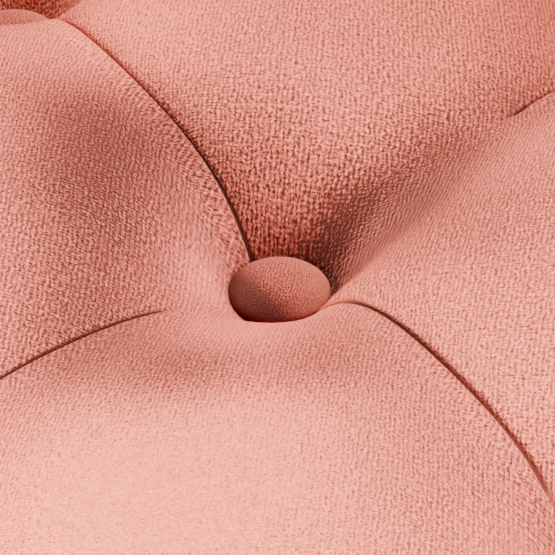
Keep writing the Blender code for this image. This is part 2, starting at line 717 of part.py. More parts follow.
def lattice(pitch_across, pitch_up, first_is_offset, rows):
    """Diamond lattice: (across, row) with every other row shifted by half a pitch."""
    places = []
    for row, columns in enumerate(rows):
        shift = 0.5 if (row % 2 == 0) == first_is_offset else 0.0
        places += [((column + shift) * pitch_across, row * pitch_up) for column in columns]
    return places


SEAT_ROWS = [(-1, 0, 1), (-1, 0), (-1, 0, 1), (-1, 0), (0,)]
BACK_ROWS = [(-3, -2, -1, 0, 1, 2), (-2, -1, 0, 1, 2), (-2, -1, 0, 1)]


def pit_tool(name, places):
    """One tool with a cone for each button; each place is a matrix whose +Z leaves the fabric."""
    builder = bmesh.new()
    reach = 0.012
    slope = (PIT_MOUTH_RADIUS - PIT_FLOOR_RADIUS) / PIT_DEPTH
    depth = PIT_DEPTH + reach
    for place in places:
        centre = place @ Matrix.Translation((0, 0, depth / 2 - PIT_DEPTH))
        bmesh.ops.create_cone(builder, cap_ends=True, segments=12, radius1=PIT_FLOOR_RADIUS,
                              radius2=PIT_FLOOR_RADIUS + slope * depth, depth=depth, matrix=centre)
    return cutter(name, builder)


def button(name, place):
    """A fabric-covered dome on the floor of its pit."""
    floor = -PIT_DEPTH + TOUCH_GAP
    outline = [(BUTTON_RADIUS, floor), (BUTTON_RADIUS * 0.93, floor + BUTTON_DOME * 0.6),
               (BUTTON_RADIUS * 0.50, floor + BUTTON_DOME)]
    finish(name, turned(outline, SMALL_SIDES, bored=False), VELVET, place)


seat_places = [Matrix.Translation((x, y - SEAT_PITCH_Y, CUSHION_TOP))
               for x, y in lattice(SEAT_PITCH_X, SEAT_PITCH_Y / 2, False, SEAT_ROWS)]


def back_place(along, height):
    """Matrix on the inside pad's face: +Z leaves the fabric, towards the sitter."""
    inward = -wall_frame(along)[1]
    lean = lean_at(along)
    normal = (inward * math.cos(lean) + Vector((0, 0, 1)) * math.sin(lean)).normalized()
    turn = normal.to_track_quat("Z", "Y").to_matrix().to_4x4()
    return Matrix.Translation(wall_point(along, pad_face(along, height), height)) @ turn


back_places = [back_place(along, BACK_FIRST_ROW + up)
               for along, up in lattice(BACK_PITCH, BACK_ROW_RISE, True, BACK_ROWS)]

cut(cushion, pit_tool("seat_pit_tool", seat_places))
cut(inside_pad, pit_tool("back_pit_tool", back_places))
for number, place in enumerate(seat_places, start=1):
    button(f"seat_button_{number:02d}", place)
for number, place in enumerate(back_places, start=1):
    button(f"back_button_{number:02d}", place)


# ---------------------------------------------------------------- footrest

def stem_path():
    """Centreline of the stem as (y, z, heading) from under the plate to the bar."""
    y, z, heading = STEM_START_Y, PLATE_BOTTOM - TOUCH_GAP - STEM_HEIGHT / 2, math.pi
    path = [(y, z, heading)]

    def run(length):
        nonlocal y, z
        y += length * math.cos(heading)
        z += length * math.sin(heading)
        path.append((y, z, heading))

    def bend(radius, angle):
        nonlocal y, z, heading
        steps = 6
        for _ in range(steps):
            chord = 2 * radius * math.sin(abs(angle) / steps / 2)
            heading += angle / steps / 2
            y += chord * math.cos(heading)
            z += chord * math.sin(heading)
            heading += angle / steps / 2
            path.append((y, z, heading))

    run(STEM_FLAT_RUN)
    bend(STEM_UPPER_BEND, STEM_TILT)
    run(STEM_SLOPE_RUN)
    bend(STEM_LOWER_BEND, -STEM_TILT)
    run(STEM_END_RUN)
    return path


def footrest_stem():
    """A flat tube swept down to the footrest."""
    section = rounded_section(STEM_WIDTH, STEM_HEIGHT, STEM_CORNER)
    rings = []
    for y, z, heading in stem_path():
        rings.append([(x, y - up * math.sin(heading), z + up * math.cos(heading)) for x, up in section])
    stem = finish("footrest_stem", loft(rings), CHROME)
    cut(stem, foot_holes)
    return stem_path()[-1]


def lying_bar(name, half_length, centre, depth, height, corner, look):
    """A rounded bar along X."""
    section = rounded_section(depth, height, corner)
    rings = [[(x + centre[0], centre[1] + across, centre[2] + up) for across, up in section]
             for x in (-half_length, half_length)]
    return finish(name, loft(rings), look)


stem_end_y, bar_z, _ = footrest_stem()
for number, (bolt_x, bolt_y) in enumerate(foot_bolt_places, start=1):
    hex_bolt(f"footrest_bolt_{number}", bolt_x, bolt_y, PLATE_BOTTOM - 2 * TOUCH_GAP - STEM_HEIGHT,
             plate_top - TOUCH_GAP, points_up=True)

bar_y = stem_end_y - TOUCH_GAP - FOOT_BAR_DEPTH / 2
lying_bar("footrest_bar", FOOT_BAR_LENGTH / 2, (0.0, bar_y, bar_z), FOOT_BAR_DEPTH, FOOT_BAR_HEIGHT,
          FOOT_BAR_CORNER, CHROME)
for name, side in (("footrest_cap_left", -1), ("footrest_cap_right", 1)):
    cap_x = side * (FOOT_BAR_LENGTH / 2 + TOUCH_GAP + CAP_LENGTH / 2)
    lying_bar(name, CAP_LENGTH / 2, (cap_x, bar_y, bar_z), FOOT_BAR_DEPTH, FOOT_BAR_HEIGHT,
              FOOT_BAR_CORNER, BLACK_PLASTIC)


def footrest_tread():
    """A rubber strip with ribs along its length, lying on the bar."""
    base = bar_z + FOOT_BAR_HEIGHT / 2 + TOUCH_GAP
    width = FOOT_BAR_DEPTH - 0.014
    ribs = 5
    pitch = width / (2 * ribs - 1)
    section = [(-width / 2, base)]
    for rib in range(ribs):
        start = -width / 2 + 2 * rib * pitch
        section += [(start, base + TREAD_THICKNESS), (start + pitch, base + TREAD_THICKNESS)]
        if rib < ribs - 1:
            groove = base + TREAD_THICKNESS * 0.55
            section += [(start + pitch, groove), (start + 2 * pitch, groove)]
    section.append((width / 2, base))
    half_length = FOOT_BAR_LENGTH / 2 - 0.010
    rings = [[(x, bar_y + across, z) for across, z in section] for x in (-half_length, half_length)]
    finish("footrest_tread", loft(rings), RUBBER)


footrest_tread()
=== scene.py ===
import math

import bpy
import numpy as np
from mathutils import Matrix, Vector


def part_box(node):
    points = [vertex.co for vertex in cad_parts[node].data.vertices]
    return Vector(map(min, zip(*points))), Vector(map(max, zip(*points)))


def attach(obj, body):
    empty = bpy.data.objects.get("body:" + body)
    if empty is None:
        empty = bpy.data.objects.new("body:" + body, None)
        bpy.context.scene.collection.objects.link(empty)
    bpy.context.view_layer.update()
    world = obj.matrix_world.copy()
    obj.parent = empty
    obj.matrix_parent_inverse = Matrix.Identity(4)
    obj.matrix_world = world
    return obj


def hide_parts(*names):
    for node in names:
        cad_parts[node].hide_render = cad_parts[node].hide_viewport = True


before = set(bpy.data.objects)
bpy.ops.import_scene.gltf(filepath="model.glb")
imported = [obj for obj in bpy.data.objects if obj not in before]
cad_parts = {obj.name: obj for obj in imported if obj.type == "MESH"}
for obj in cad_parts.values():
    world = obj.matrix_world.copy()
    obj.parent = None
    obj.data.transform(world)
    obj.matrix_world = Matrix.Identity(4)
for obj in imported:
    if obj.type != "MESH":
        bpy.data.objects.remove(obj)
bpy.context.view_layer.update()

# ---------------------------------------------------------------- driving dimensions, in metres

seat_low, seat_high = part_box("seat_cushion")
SEAT_HALF_WIDTH = seat_high.x
SEAT_FRONT = seat_low.y
SEAT_TOP = seat_high.z
SEAT_BOTTOM = seat_low.z
SEAT_REAR_CENTRE_Y = seat_high.y - SEAT_HALF_WIDTH      # the rear is a half circle about this point
SEAT_CORNER = 0.050
SEAT_ROLL = 0.035
SEAT_PITCH_X = 0.160        # diamond lattice of the seat's buttons
SEAT_PITCH_Y = 0.190
WELT_REACH = 0.050          # from the flat top's outline to the seat's welt, over the roll
WELT_RADIUS = 0.0040
WELT_OUT = 0.0325           # welt's centre: distance out from the flat top's outline, and height
WELT_LEVEL = SEAT_TOP - 0.0315

BUTTON_RADIUS = 0.0115
BUTTON_DOME = 0.0065
BUTTON_WRAP = math.radians(112)     # how far round the cloth goes, from the crown
PIT_DEPTH = 0.0340          # from the CAD surface down to a button's back
CREST_RISE = 0.003          # a puff's crest above the plain CAD surface
TUFT_DEPTH = 0.037          # from a puff's crest down to the fabric at a button's edge
TUFT_SPREAD = 0.0133        # how fast the fabric climbs away from a button
PIT_START = 0.90            # share of the button's radius at which the fabric starts to climb
GENTLE_FROM = 0.25          # cosine of the angle off a gentle pit's direction at which it starts to differ
FOLD_WIDTH = 0.0185         # half width of the valley along a pleat
BEND_REACH = 0.030          # how far to the side a bent fold takes the cloth with it
CREASE_DEPTH = 0.0024       # how far the tucked crease goes below its valley
CREASE_REACH = 0.0075
CREASE_FADE = 0.012         # length over which a crease comes in or fades out
LIP_BULGE = 0.0032          # sideways, of the side that lies on top
LIP_TUCK = 0.0012           # how wide its sink into the crease is
UNDER_BULGE = 0.0012        # the same two for the side beneath
UNDER_TUCK = 0.0021
CREVICE_LIP = 0.0003        # how far the painted shadow line down in a crease reaches on its over side
CREVICE_FLOOR = 0.0009      # and on its under side, most of it hidden beneath the lip
CREVICE_SHADE = 4.0         # how much painted shade it adds, beside a pit's 1
BLEND_POWER = 4             # how sharply neighbouring valleys give way to each other

WALL_RADIUS = 0.295         # tub wall: inner face of the bent ply, a half circle with two straight arms
WALL_CENTRE_Y = 0.020
ARM_RUN = 0.200
WALL_BOTTOM = 0.345
LEAN_BACK = math.radians(10)
LEAN_ARM = math.radians(3)
BACK_TOP = 0.930
ARM_TOP = 0.700
SLOPE_START = 0.140         # distance along the wall from the middle of the back
SLOPE_END = 0.560
BOARD_BOTTOM = 0.352        # height at which the wall's lean starts
PAD_BOTTOM = 0.3705
PAD_THICKNESS_BOTTOM = 0.048
PAD_THICKNESS_TOP = 0.036
COVER_INNER = 0.013
COVER_OUTER = 0.024
ROLL_HEIGHT = 0.028
ROLL_RADIUS = 0.030
ROLL_TURN = math.radians(172)   # how far the panel goes round the roll before it meets the welt
FACING_THICKNESS = 0.014
BACK_PITCH = 0.180          # lattice of the back's buttons, along the wall
BACK_ROW_RISE = 0.100
BACK_FIRST_ROW = 0.600

BUTTON_PAINTED_LIGHT = 3.6            # painted light on one side of a button, and stronger painted shade on the other
BUTTON_PAINTED_LIGHT_TURN = math.radians(42)
BUTTON_WEAVE = 1.45         # the ribs look this much finer on a button
BUTTON_EDGE_SHADE = 3.0     # painted shade on a button's edge, down in its pit, beside a pit's 1

# Distances from a fold at which the surface is sampled: fine in the crease, wider on the puff.
SEAT_SAMPLES = np.array((0, 0.0004, 0.0008, 0.0012, 0.0017, 0.0023, 0.0030, 0.0038,
                         0.0047, 0.0057, 0.0069, 0.0082, 0.0096, 0.0112, 0.0130, 0.0150))
BACK_SAMPLES = np.array((0, 0.0008, 0.0017, 0.0030, 0.0047, 0.0069, 0.0096, 0.0130))
SEAT_STEP = 0.0022          # sample spacing on a puff
BACK_STEP = 0.0050


# ---------------------------------------------------------------- meshes

def add_object(name, mesh):
    """Link a smooth-shaded mesh."""
    for face in mesh.polygons:
        face.use_smooth = True
    made = bpy.data.objects.new(name, mesh)
    bpy.context.scene.collection.objects.link(made)
    return made


def sheet_mesh(name, places, faces, cloth):
    """Mesh with each corner's place on the cloth, in metres, for the weave."""
    mesh = bpy.data.meshes.new(name)
    mesh.from_pydata([tuple(p) for p in places], [], [tuple(f) for f in faces])
    stored = mesh.attributes.new("cloth", "FLOAT_VECTOR", "CORNER")
    stored.data.foreach_set("vector", np.asarray(cloth, np.float32).ravel())
    return add_object(name, mesh)


def store_number(made, name, values):
    """Keep one number per vertex for the materials to read."""
    stored = made.data.attributes.new(name, "FLOAT", "POINT")
    stored.data.foreach_set("value", np.asarray(values, np.float32))


def swept(name, rings, closed_path=False):
    """Skin over a run of closed rings, capped at both ends unless the path closes on itself."""
    rings = np.asarray(rings, float)
    count, sides = rings.shape[:2]
    step = np.linalg.norm(np.roll(rings, -1, axis=0) - rings, axis=2).mean(axis=1)
    path = np.concatenate([[0.0], np.cumsum(step)])
    around = np.linalg.norm(np.roll(rings, -1, axis=1) - rings, axis=2).mean(axis=0)
    around = np.concatenate([[0.0], np.cumsum(around)])
    faces, cloth = [], []
    for i in range(count if closed_path else count - 1):
        after = (i + 1) % count
        for k in range(sides):
            beside = (k + 1) % sides
            faces.append((i * sides + k, i * sides + beside, after * sides + beside, after * sides + k))
            cloth += [(path[i], around[k], 0), (path[i], around[k + 1], 0),
                      (path[i + 1], around[k + 1], 0), (path[i + 1], around[k], 0)]
    if not closed_path:
        for i, order in ((0, range(sides - 1, -1, -1)), (count - 1, range(sides))):
            faces.append([i * sides + k for k in order])
            cloth += [(path[i], around[k], 0) for k in order]
    return sheet_mesh(name, rings.reshape(-1, 3), faces, cloth)


def cord_along(name, line, radius, closed=False, sides=12):
    """Round cord along a line of points."""
    line = np.asarray(line, float)
    if closed:
        ahead = np.roll(line, -1, axis=0) - np.roll(line, 1, axis=0)
    else:
        ahead = np.gradient(line, axis=0)
    ahead /= np.linalg.norm(ahead, axis=1)[:, None]
    steep = np.abs(ahead[:, 2]).max() > 0.9
    side = np.cross(ahead, (0.0, 1.0, 0.0) if steep else (0.0, 0.0, 1.0))
    side /= np.linalg.norm(side, axis=1)[:, None]
    up = np.cross(side, ahead)
    turns = 2 * math.pi * np.arange(sides) / sides
    rings = (line[:, None] + radius * (side[:, None] * np.cos(turns)[None, :, None]
                                       + up[:, None] * np.sin(turns)[None, :, None]))
    return swept(name, rings, closed)


def turned(name, outline, sides=160):
    """Body of revolution about the column's axis from a closed (radius, height) outline."""
    turns = 2 * math.pi * np.arange(sides) / sides
    rings = [[(r * math.cos(t), r * math.sin(t), z) for r, z in outline] for t in turns]
    return swept(name, rings, closed_path=True)


# ---------------------------------------------------------------- tufted surface

def mirrored_to(side):
    """A function that puts lattice names on one side of the middle, +1 or -1."""
    return lambda *names: [(side * column, row) for column, row in names]


def smooth(x):
    """Smoothstep of a number or an array, held at 0 and 1 outside its range."""
    x = np.clip(x, 0.0, 1.0)
    return x * x * (3 - 2 * x)


class Fold:
    """A pleat from a to b in the flat pattern. Pairs of values are for the end at a and the end at b."""

    def __init__(self, a, b, depth=(0.30, 0.30), width=FOLD_WIDTH, crease=1.0, over=1, clear=(0.018, 0.018),
                 bow=0.0, sway=0.0, floor=(CREVICE_FLOOR, CREVICE_FLOOR)):
        self.a = np.array(a, float)
        self.b = np.array(b, float)
        self.length = float(np.linalg.norm(self.b - self.a))
        self.along = (self.b - self.a) / self.length
        self.across = np.array([-self.along[1], self.along[0]])
        self.depth = depth      # share of the puff's height that is lost in the valley
        self.width = width
        self.crease = crease    # strength of the tucked crease
        self.over = over        # the side whose lip lies on top: +1 is to the left of a to b
        self.clear = clear      # the crease has faded out this far from each end
        self.bow = bow          # sideways bend of the fold's line, one arch
        self.sway = sway        # the same, as one S
        self.floor = floor      # reach of the painted shadow line on the under side

    def coordinates(self, points):
        """Distance along the fold, signed distance from its line, and distance from the fold itself."""
        offset = points - self.a
        along = offset @ self.along
        across = offset @ self.across
        beyond = np.maximum(np.maximum(-along, along - self.length), 0.0)
        return along, across, np.hypot(across, beyond)

    def between_ends(self, pair, along):
        """A value that goes from the one at a to the one at b."""
        return pair[0] + (pair[1] - pair[0]) * smooth(along / self.length)

    def strength(self, along):
        """Strength of the crease, which has faded out near both ends."""
        start = smooth((along - self.clear[0]) / CREASE_FADE)
        stop = smooth((self.length - along - self.clear[1]) / CREASE_FADE)
        return start * stop * self.crease

    def bend(self, along, reach):
        """Sideways move that gives the fold's line its bow and sway."""
        turn = np.pi * np.clip(along / self.length, 0, 1)
        return (self.bow * np.sin(turn) + self.sway * np.sin(2 * turn)) * np.exp(-(reach / BEND_REACH) ** 2)


def crease_shift(distance, over):
    """Sideways shift away from the fold's line, and sink, of cloth at a distance from the crease.

    The over side bulges past the line and tucks back under it. The under side dives beneath.
    """
    d = np.clip(distance / CREASE_REACH, 0.0, 1.0)
    fade = (1 - d) ** 1.5
    if over:
        aside = -LIP_BULGE * np.sin(np.pi * np.clip(d * 1.15, 0, 1)) * fade
        return aside, -CREASE_DEPTH * np.exp(-(distance / LIP_TUCK) ** 1.6)
    return UNDER_BULGE * np.sin(np.pi * d) * fade, -CREASE_DEPTH * np.exp(-(distance / UNDER_TUCK) ** 1.4)


class Pattern:
    """Flat pattern of a tufted panel: buttons, folds, and an outline given by edge(position)."""

    def __init__(self, buttons, edge, samples, step):
        self.buttons = {name: np.array(place, float) for name, place in buttons.items()}
        self.edge = edge
        self.samples = samples
        self.step = step
        self.gentle = {}
        self.patches = ()
        self.folds = {}
        self.vertices = []
        self.faces = []

    def spaced(self, length, count=None):
        """Distances from 0 to length, fine near the fold at each end and even between them."""
        start = self.samples
        stop = length - self.samples[::-1]
        gap = stop[0] - start[-1]
        steps = count - len(start) - len(stop) + 1 if count else max(int(round(gap / self.step)), 2)
        middle = start[-1] + gap * np.arange(1, steps) / steps
        return np.concatenate([start, middle, stop])

    def fold(self, a, b, **style):
        self.folds[a, b] = Fold(self.buttons[a], self.buttons[b], **style)

    def pleat(self, name, position, **style):
        """A pleat from a button out to the outline."""
        end = self.edge(np.array([position]))[0]
        self.folds[name, round(position, 4)] = Fold(self.buttons[name], end, **style)

    def between(self, a, b):
        """Sample points from one button to its neighbour."""
        start, end = self.buttons[a], self.buttons[b]
        length = np.linalg.norm(end - start)
        return start + np.outer(self.spaced(length) / length, end - start)

    def add_grid(self, grid):
        rows, columns = grid.shape[:2]
        first = sum(len(v) for v in self.vertices)
        self.vertices.append(grid.reshape(-1, 2))
        index = first + np.arange(rows * columns).reshape(rows, columns)
        corners = (index[:-1, :-1], index[:-1, 1:], index[1:, 1:], index[1:, :-1])
        self.faces.append(np.stack([c.ravel() for c in corners], axis=1))

    def cell(self, low, right, high, left):
        """A puff between four buttons."""
        bottom, top = self.between(low, right), self.between(left, high)
        length = np.linalg.norm(self.buttons[left] - self.buttons[low])
        share = self.spaced(length) / length
        self.add_grid(bottom[None] * (1 - share[:, None, None]) + top[None] * share[:, None, None])

    def strip(self, names, start, stop):
        """Puff between a run of buttons and the outline, bounded by a pleat at each end."""
        length = abs(stop - start)
        if len(names) > 1:
            runs = [self.between(a, b) for a, b in zip(names, names[1:])]
            inner = np.concatenate([runs[0]] + [run[1:] for run in runs[1:]])
            along = self.spaced(length, count=len(inner))
        else:
            along = self.spaced(length)
            inner = np.repeat(self.buttons[names[0]][None], len(along), axis=0)
        outer = self.edge(start + np.sign(stop - start) * along)
        reach = np.linalg.norm(outer - inner, axis=1)
        fine_end = self.samples[-1]
        steps = max(int(round((reach.mean() - fine_end) / self.step)), 2)
        near = np.repeat(self.samples[None], len(inner), axis=0)
        far = fine_end + np.outer(reach - fine_end, np.arange(1, steps + 1) / steps)
        travel = np.concatenate([near, far], axis=1) / reach[:, None]
        self.add_grid(inner[:, None] * (1 - travel[..., None]) + outer[:, None] * travel[..., None])


def climb_from_buttons(pattern, flat):
    """How far the cloth has climbed out of the pits: 0 at a button's edge, towards 1 on a puff."""
    climb = np.ones(len(flat))
    for name, place in pattern.buttons.items():
        offset = flat - place
        reach = np.maximum(np.linalg.norm(offset, axis=1), 1e-9)
        spread = TUFT_SPREAD
        if name in pattern.gentle:
            direction, extra = pattern.gentle[name]
            towards = smooth((offset @ direction / reach - GENTLE_FROM) / (1 - GENTLE_FROM))
            spread = TUFT_SPREAD * (1 + extra * towards)
        climb *= 1 - np.exp(-np.maximum(reach - BUTTON_RADIUS * PIT_START, 0.0) / spread)
    return climb


def relief(pattern, flat):
    """For points of the flat pattern: place sideways, height, and painted shade for how far down a pit or
    crease they are.
    """
    climb = climb_from_buttons(pattern, flat)
    lost_total = np.zeros(len(flat))
    moved = flat.copy()
    sink = np.zeros(len(flat))
    painted_crevice_shadow = np.zeros(len(flat))
    for fold in pattern.folds.values():
        along, across, reach = fold.coordinates(flat)
        lost = fold.between_ends(fold.depth, along)
        lost_total += (lost * np.exp(-(reach / fold.width) ** 1.5)) ** BLEND_POWER
        moved += np.outer(fold.bend(along, reach), fold.across)
        strength = fold.strength(along)
        for over in (True, False):
            side = (across * fold.over >= 0) if over else (across * fold.over < 0)
            near = side & (reach < CREASE_REACH) & (strength > 0)
            aside, down = crease_shift(np.abs(across[near]), over)
            outward = (fold.over if over else -fold.over) * fold.across
            moved[near] += np.outer(aside * strength[near], outward)
            sink[near] += down * strength[near]
        # Painted shadow: a thin dark line down in each crease, wider on the side beneath the lip.
        width = np.where(across * fold.over > 0, CREVICE_LIP, fold.between_ends(fold.floor, along))
        painted_crevice_shadow = np.maximum(painted_crevice_shadow, np.minimum(strength, 1.0) * np.exp(-(reach / width) ** 3))
    valley = 1 - lost_total ** (1 / BLEND_POWER)
    height = TUFT_DEPTH * (climb * valley - 1) + sink + CREST_RISE
    return moved, height, 1 - climb + CREVICE_SHADE * painted_crevice_shadow


def brushed_tone_and_painted_light(pattern, flat):
    """How much lighter or darker the patches make the pile: painted light and shade near the middle button,
    brushed tone elsewhere.
    """
    total = np.zeros(len(flat))
    for place, radius, strength in pattern.patches:
        total += strength * np.exp(-(np.linalg.norm(flat - place, axis=1) / radius) ** 2)
    return total


def tufted_mesh(name, pattern, surface, edge_dip):
    """Build the panel: surface(points) gives base positions and outward directions."""
    flat = np.concatenate(pattern.vertices)
    quads = np.concatenate(pattern.faces)
    _, first, where = np.unique(np.round(flat, 6), axis=0, return_index=True, return_inverse=True)
    flat = flat[first]
    quads = where.reshape(-1)[quads]
    moved, height, painted_pit_shade = relief(pattern, flat)
    base, outward = surface(moved)
    places = base + outward * (height + edge_dip(flat))[:, None]
    rings = [list(dict.fromkeys(quad)) for quad in quads.tolist()]
    rings = [ring for ring in rings if len(ring) > 2]
    corners = np.concatenate(rings)
    made = sheet_mesh(name, places, rings, np.column_stack([flat[corners], np.zeros(len(corners))]))
    # Painted shade in pits and creases, and painted light and shade or brushed tone from the patches, for the
    # velvet's colour.
    store_number(made, "painted_pit_shade", painted_pit_shade)
    store_number(made, "nap_tone_and_painted_light", brushed_tone_and_painted_light(pattern, flat))
    return made


# ---------------------------------------------------------------- seat

# The level outline where the cushion's flat top ends.
FLAT_HALF = SEAT_HALF_WIDTH - SEAT_ROLL
FLAT_FRONT = SEAT_FRONT + SEAT_ROLL
FLAT_CORNER = SEAT_CORNER - SEAT_ROLL


def outside_flat_top(points):
    """Signed distance outside the flat top's outline, and the outward direction."""
    x, y = points[:, 0], points[:, 1]
    outward = np.zeros_like(points)
    distance = np.zeros(len(points))
    rear = y > SEAT_REAR_CENTRE_Y
    radial = points - np.array([0.0, SEAT_REAR_CENTRE_Y])
    reach = np.maximum(np.linalg.norm(radial, axis=1), 1e-9)
    distance[rear] = reach[rear] - FLAT_HALF
    outward[rear] = radial[rear] / reach[rear][:, None]
    to_side = np.abs(x) - (FLAT_HALF - FLAT_CORNER)
    to_front = (FLAT_FRONT + FLAT_CORNER) - y
    corner = ~rear & (to_side > 0) & (to_front > 0)
    from_centre = np.column_stack([np.sign(x) * to_side, -to_front])[corner]
    length = np.maximum(np.linalg.norm(from_centre, axis=1), 1e-9)
    distance[corner] = length - FLAT_CORNER
    outward[corner] = from_centre / length[:, None]
    side = ~rear & ~corner & (to_side > to_front)
    distance[side] = (np.abs(x) - FLAT_HALF)[side]
    outward[side, 0] = np.sign(x)[side]
    face = ~rear & ~corner & ~side
    distance[face] = (FLAT_FRONT - y)[face]
    outward[face] = (0.0, -1.0)
    return distance, outward


def seat_surface(points):
    """Wrap the flat pattern over the cushion's top, its rolled edge and its side."""
    distance, outward = outside_flat_top(points)
    past = np.maximum(distance, 0.0)
    angle = np.minimum(past / SEAT_ROLL, math.pi / 2)
    down = np.maximum(past - SEAT_ROLL * math.pi / 2, 0.0)
    flat = points - outward * past[:, None]
    plan = flat + outward * (SEAT_ROLL * np.sin(angle))[:, None]
    level = SEAT_TOP - SEAT_ROLL * (1 - np.cos(angle)) - down
    direction = np.column_stack([outward * np.sin(angle)[:, None], np.cos(angle)])
    return np.column_stack([plan, level]), direction


# The panel's outline in the flat pattern, at the welt, and the runs along it from the front's middle.
EDGE_HALF = FLAT_HALF + WELT_REACH
EDGE_CORNER = FLAT_CORNER + WELT_REACH
EDGE_FRONT = FLAT_FRONT - WELT_REACH
SIDE_FRONT = EDGE_FRONT + EDGE_CORNER        # y at which the straight side starts
TO_CORNER = EDGE_HALF - EDGE_CORNER
TO_SIDE = TO_CORNER + EDGE_CORNER * math.pi / 2
TO_REAR = TO_SIDE + SEAT_REAR_CENTRE_Y - SIDE_FRONT
TO_END = TO_REAR + EDGE_HALF * math.pi / 2


def seat_edge(run):
    """The panel's outline in the flat pattern, right (+) or left (-) of the front's middle."""
    side, run = np.sign(run), np.abs(run)
    turn = np.clip((run - TO_CORNER) / EDGE_CORNER, 0, math.pi / 2)
    x = np.minimum(run, TO_CORNER) + EDGE_CORNER * np.sin(turn)
    y = EDGE_FRONT + EDGE_CORNER * (1 - np.cos(turn)) + np.clip(run - TO_SIDE, 0, TO_REAR - TO_SIDE)
    rear = np.maximum(run - TO_REAR, 0) / EDGE_HALF
    x = np.where(rear > 0, EDGE_HALF * np.cos(rear), x)
    y = np.where(rear > 0, SEAT_REAR_CENTRE_Y + EDGE_HALF * np.sin(rear), y)
    return np.column_stack([side * x, y])


EDGE_PLEAT = dict(depth=(0.30, 0.08), width=0.014, crease=0.8)
EDGE_DIP = 0.004            # how far a panel is pulled in at its seams
SEAT_DIP_REACH = 0.022

# Buttons whose pit is less steep towards one side: that direction, and how much gentler.
GENTLE_PITS = {(0, 0): ((-0.28, -0.96), 0.85)}

# The four pleats at the middle button, as sewn: each runs from its first button to its second.
MIDDLE_FOLDS = {
    ((0, 0), (-1, 1)): dict(over=1, depth=(0.32, 0.07), clear=(0.002, 0.018), bow=0.0029, sway=-0.0010,
                            crease=1.3, floor=(0.0009, 0.0016)),
    ((0, 0), (1, 1)): dict(over=-1, depth=(0.30, 0.24), clear=(0.060, 0.018), bow=-0.0100, width=0.021),
    ((-1, -1), (0, 0)): dict(over=-1, depth=(0.17, 0.20), clear=(0.018, 0.031), bow=-0.0044, crease=0.6),
    ((1, -1), (0, 0)): dict(over=1, depth=(0.11, 0.17), clear=(0.018, 0.012), bow=0.0034, sway=0.0011,
                            crease=0.8),
}

# Painted light and shade near the middle button, as patches of brushed-looking pile: place in the pattern,
# radius, lighter (+) or darker (-).
PAINTED_LIGHT_AND_SHADE_PATCHES = (
    ((-0.048, 0.069), 0.024, 0.80),
    ((-0.039, 0.018), 0.020, -1.60),
    ((-0.041, -0.008), 0.018, -1.20),
    ((-0.038, -0.036), 0.016, -0.80),
    ((-0.016, -0.008), 0.008, 0.80),
    ((-0.007, 0.030), 0.014, -0.50),
    ((0.014, 0.014), 0.011, -2.00),
    ((0.023, 0.012), 0.010, -1.60),
    ((0.028, 0.030), 0.013, -1.40),
    ((0.044, 0.050), 0.014, -0.80),
    ((0.036, -0.004), 0.020, -0.80),
    ((0.028, -0.046), 0.016, -0.30),
    ((0.004, -0.019), 0.009, 2.20),
    ((-0.004, -0.036), 0.014, 1.20),
    ((-0.036, -0.058), 0.017, -0.90),
    ((-0.012, -0.064), 0.013, -0.90),
    ((0.014, -0.060), 0.012, -0.60),
    ((0.011, -0.080), 0.016, 0.60),
    ((-0.014, -0.112), 0.034, 1.70),
    ((0.036, -0.112), 0.022, 0.30),
)
PATCH_OFFSET = 0.042        # round every other button: a darker patch on one side and a lighter one opposite
PATCH_RADIUS = 0.021
PATCH_STRENGTH = 0.4
PATCH_CLEARANCE = 0.120     # kept free round the middle button, which has its own
GOLDEN_ANGLE = math.radians(137.5)


def brushed_round(buttons, clear_of=None):
    """Patches for every button, turned differently each time, none of them close to one given place."""
    patches = []
    for number, place in enumerate(buttons.values()):
        aside = PATCH_OFFSET * np.array([math.cos(number * GOLDEN_ANGLE), math.sin(number * GOLDEN_ANGLE)])
        for centre, strength in ((place + aside, -PATCH_STRENGTH), (place - aside, PATCH_STRENGTH)):
            if clear_of is None or np.linalg.norm(centre - clear_of) > PATCH_CLEARANCE:
                patches.append((centre, PATCH_RADIUS, strength))
    return patches


def seat_pattern():
    """Buttons in a diamond lattice with pleats between them and out to the welt."""
    buttons = {}
    for row in range(-2, 3):
        for column in (-2, 0, 2) if row % 2 == 0 else (-1, 1):
            if row < 2 or column == 0:
                buttons[column, row] = (column * SEAT_PITCH_X / 2, row * SEAT_PITCH_Y / 2)
    pattern = Pattern(buttons, seat_edge, SEAT_SAMPLES, SEAT_STEP)
    for column, row in buttons:
        for step in (-1, 1):
            other = (column + step, row + 1)
            if other in buttons:
                pattern.fold((column, row), other, **MIDDLE_FOLDS.get(((column, row), other), {"over": step}))
    pattern.gentle = GENTLE_PITS
    pattern.patches = list(PAINTED_LIGHT_AND_SHADE_PATCHES) + brushed_round(pattern.buttons, clear_of=pattern.buttons[0, 0])
    return pattern


